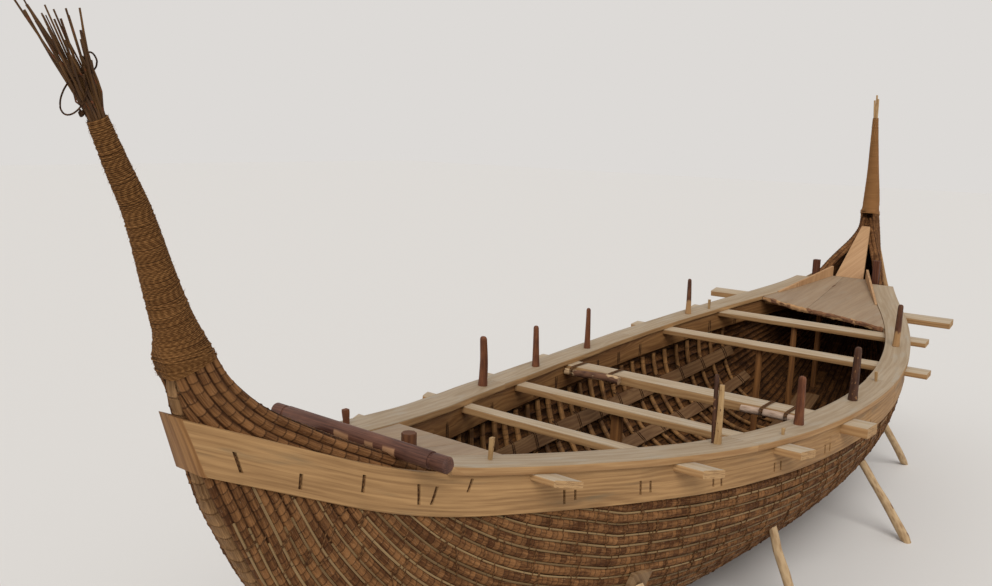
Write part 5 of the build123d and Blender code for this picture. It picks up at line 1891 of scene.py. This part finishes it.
# Painted light: a paler copy of the coir for the bow winding, to make up for the shade that winding falls in
painted_light_coir = rope_finish("painted_light_coir_winding", tint(122, 82, 46), tint(194, 144, 92))
stem_core = rope_finish("stem_core", tint(66, 44, 24), tint(100, 72, 44))
sewing_rope = rope_finish("sewing_rope", tint(62, 38, 20), tint(134, 96, 60))
dark_rope = rope_finish("dark_coir_rope", tint(40, 24, 13), tint(96, 66, 40))
loose_reed = peg_finish("loose_reed", tint(54, 32, 16), tint(114, 79, 37), chips=tint(106, 57, 27))
pale_stick = peg_finish("pale_stick", tint(150, 114, 72), tint(204, 172, 128))
pine = wood_finish("wale_pine", tint(184, 144, 96), tint(128, 94, 58), knots=0.4, stain=tint(100, 92, 72),
                   lines=90, swirl=0.8, figure=0.2)
warm_pine = wood_finish("inwale_pine", tint(158, 116, 70), tint(112, 74, 40), knots=0.3, lines=60)
warm_board = wood_finish("stringer_board", tint(132, 100, 66), tint(96, 66, 40), knots=0.2, lines=80)
warm_post = wood_finish("stanchion_wood", tint(142, 96, 50), tint(98, 62, 32), knots=0.3, lines=80)
cap_top = wood_finish("cap_top", tint(172, 153, 128), tint(142, 120, 92), knots=0.35,
                      wear=tint(158, 146, 128), lines=56, swirl=0.8, figure=0.2)
beam_top = wood_finish("beam_top", tint(186, 168, 142), tint(154, 130, 100), knots=0.35,
                       wear=tint(172, 160, 142), lines=56, swirl=0.8, figure=0.2)
board_edge = wood_finish("board_edge", tint(184, 146, 100), tint(146, 108, 68), knots=0.2, lines=80,
                         figure=0.25)
deck_wood = wood_finish("deck_board", tint(158, 135, 108), tint(132, 108, 84), grain="x", knots=0.45,
                        wear=tint(148, 130, 108), lines=38, figure=0.12)
stem_wood = wood_finish("stem_board_wood", tint(190, 151, 110), tint(154, 115, 78), grain="z", knots=0.55,
                        lines=50, figure=0.14)
block_wood = wood_finish("block_wood", tint(158, 128, 92), tint(110, 82, 54), grain="y", knots=0.4, lines=50)
bitt_wood = wood_finish("bitt_wood", tint(104, 60, 36), tint(62, 32, 20), grain="z", knots=0.0, lines=110)
post_wood = wood_finish("stern_post_wood", tint(112, 72, 44), tint(72, 42, 26), grain="z", knots=0.0,
                        lines=110)
bent_wood = bent_rib_finish()
end_grain = end_grain_finish("end_grain", tint(184, 148, 102), tint(156, 118, 76))
pale_cut = end_grain_finish("pale_cut", tint(200, 168, 128), tint(164, 126, 88))
bark = bark_finish("dark_bark", tint(66, 40, 27), tint(108, 72, 48), tint(190, 158, 118), peel=0.14)
red_bark = bark_finish("red_bark", tint(80, 46, 28), tint(130, 88, 56), tint(182, 138, 92), peel=0.20)
grey_pole = bark_finish("grey_pole", tint(140, 112, 92), tint(182, 156, 134), tint(112, 84, 64), peel=0.04)
peeled_pole = bark_finish("peeled_pole", tint(148, 116, 80), tint(184, 156, 118), tint(120, 88, 58),
                          peel=0.06)
pale_peg = peg_finish("pale_peg", tint(146, 112, 70), tint(192, 160, 114), chips=tint(92, 60, 36))
red_peg = peg_finish("red_peg", tint(82, 44, 25), tint(134, 82, 48))
two_tone_peg = peg_finish("two_tone_peg", tint(68, 39, 25), tint(116, 74, 46), split=tint(160, 122, 80))
dark_peg = peg_finish("dark_peg", tint(50, 28, 18), tint(96, 60, 36), chips=tint(140, 100, 62))
turned_wood = turned_finish()


# Everything in its place

for side_name, side in SIDES:
    reed_wall(side_name, side)
    reed_lining(side_name, side)
    edge_bundles(side_name, side)
    split_cane_battens(side_name, side)
    side_lashings(side_name, side)
    wale(side_name, side)
    wale_stitches(side_name, side)
    inwale(side_name, side)
    inwale_stitches(side_name, side)
    for cap_row in CAPS:
        cap(side_name, side, *cap_row)
    stringers(side_name, side)
    props(side_name)
    dress(f"bow_rail_{side_name}", stem_wood, edge=0.002)
    dress(f"bow_bitt_{side_name}", bitt_wood)
    dress(f"prop_pads_{side_name}", block_wood)
keel_bundle()
for stem_end in ("stern", "bow"):
    bound_stem(stem_end)
wale_stern_block()
dress("wale_end_bow", stem_wood)
stern_reed_ends()
bow_reed_ends()
rope_loops()
for number, beam_row in enumerate(BEAMS, 1):
    beam(number, *beam_row)
ribs()
stanchions(*keelson())
mast_beam_poles()
thole_pins()
cap_pegs()
bow_deck_bark()
for node in ("stern_deck", "bow_deck"):
    dress(node, deck_wood)
dress("stem_board", stem_wood)
dress("cross_beam", turned_wood, edge=0.002)
dress("stern_post", post_wood)
dress("keel_blocks", block_wood, edge=0.006)


# Floor, light and camera

FLOOR_REACH = 60.0


def floor_plane():
    """Plain pale floor under the boat."""
    mesh = bpy.data.meshes.new("floor")
    corners = [(x * FLOOR_REACH, y * FLOOR_REACH, 0) for x, y in ((-1, -1), (1, -1), (1, 1), (-1, 1))]
    mesh.from_pydata(corners, [], [(0, 1, 2, 3)])
    made = bpy.data.objects.new("floor", mesh)
    bpy.context.scene.collection.objects.link(made)
    ground = Finish("pale_floor", Roughness=0.85)
    mesh.materials.append(ground.finish(tint(214, 210, 204)))


SUN_STRENGTH = 1.9
SUN_WIDTH = radians(38)
SUN_TURN = (radians(38), radians(-18), radians(-30))
SKY_STRENGTH = 0.72
SKY_COLOUR = tint(240, 240, 242)
SEEN_BACKGROUND = tint(221, 218, 215)


def lighting():
    """One wide soft sun and a pale sky. The camera sees a plain background in place of the sky."""
    sun = bpy.data.lights.new("sky_light", "SUN")
    sun.energy = SUN_STRENGTH
    sun.angle = SUN_WIDTH
    lamp = bpy.data.objects.new("sky_light", sun)
    lamp.rotation_euler = SUN_TURN
    bpy.context.scene.collection.objects.link(lamp)
    world = bpy.data.worlds.new("pale_room")
    world.use_nodes = True
    tree = world.node_tree
    light = tree.nodes["Background"]
    light.inputs["Color"].default_value = SKY_COLOUR
    light.inputs["Strength"].default_value = SKY_STRENGTH
    seen = tree.nodes.new("ShaderNodeBackground")
    seen.inputs["Color"].default_value = SEEN_BACKGROUND
    rays = tree.nodes.new("ShaderNodeLightPath")
    choice = tree.nodes.new("ShaderNodeMixShader")
    tree.links.new(rays.outputs["Is Camera Ray"], choice.inputs["Fac"])
    tree.links.new(light.outputs["Background"], choice.inputs[1])
    tree.links.new(seen.outputs["Background"], choice.inputs[2])
    tree.links.new(choice.outputs["Shader"], tree.nodes["World Output"].inputs["Surface"])
    bpy.context.scene.world = world


CAMERA_PLACE = (-6.146, -2.942, 3.160)
CAMERA_YAW = radians(37.656)
CAMERA_PITCH = radians(10.231)
CAMERA_ROLL = 0.02769
FOCAL_PIXELS = 899.68
FRAME_PIXELS = 992
SENSOR = 36.0
SEEN_TO = 200


def photograph_camera():
    """Camera at the photograph's place: yaw from +X to port, looking down, slightly rolled."""
    level_part = cos(CAMERA_PITCH)
    forward = np.array([level_part * cos(CAMERA_YAW), level_part * sin(CAMERA_YAW), -sin(CAMERA_PITCH)])
    level = np.cross(forward, (0, 0, 1.0))
    level /= np.linalg.norm(level)
    above = np.cross(level, forward)
    right = cos(CAMERA_ROLL) * level + sin(CAMERA_ROLL) * above
    up = cos(CAMERA_ROLL) * above - sin(CAMERA_ROLL) * level
    lens = bpy.data.cameras.new("photograph")
    lens.sensor_width = SENSOR
    lens.lens = FOCAL_PIXELS / FRAME_PIXELS * SENSOR
    lens.clip_end = SEEN_TO
    made = bpy.data.objects.new("photograph", lens)
    rows = [(right[i], up[i], -forward[i], CAMERA_PLACE[i]) for i in range(3)]
    made.matrix_world = Matrix(rows + [(0, 0, 0, 1)])
    bpy.context.scene.collection.objects.link(made)
    bpy.context.scene.camera = made


floor_plane()
lighting()
photograph_camera()
bpy.context.scene.view_settings.view_transform = "Standard"
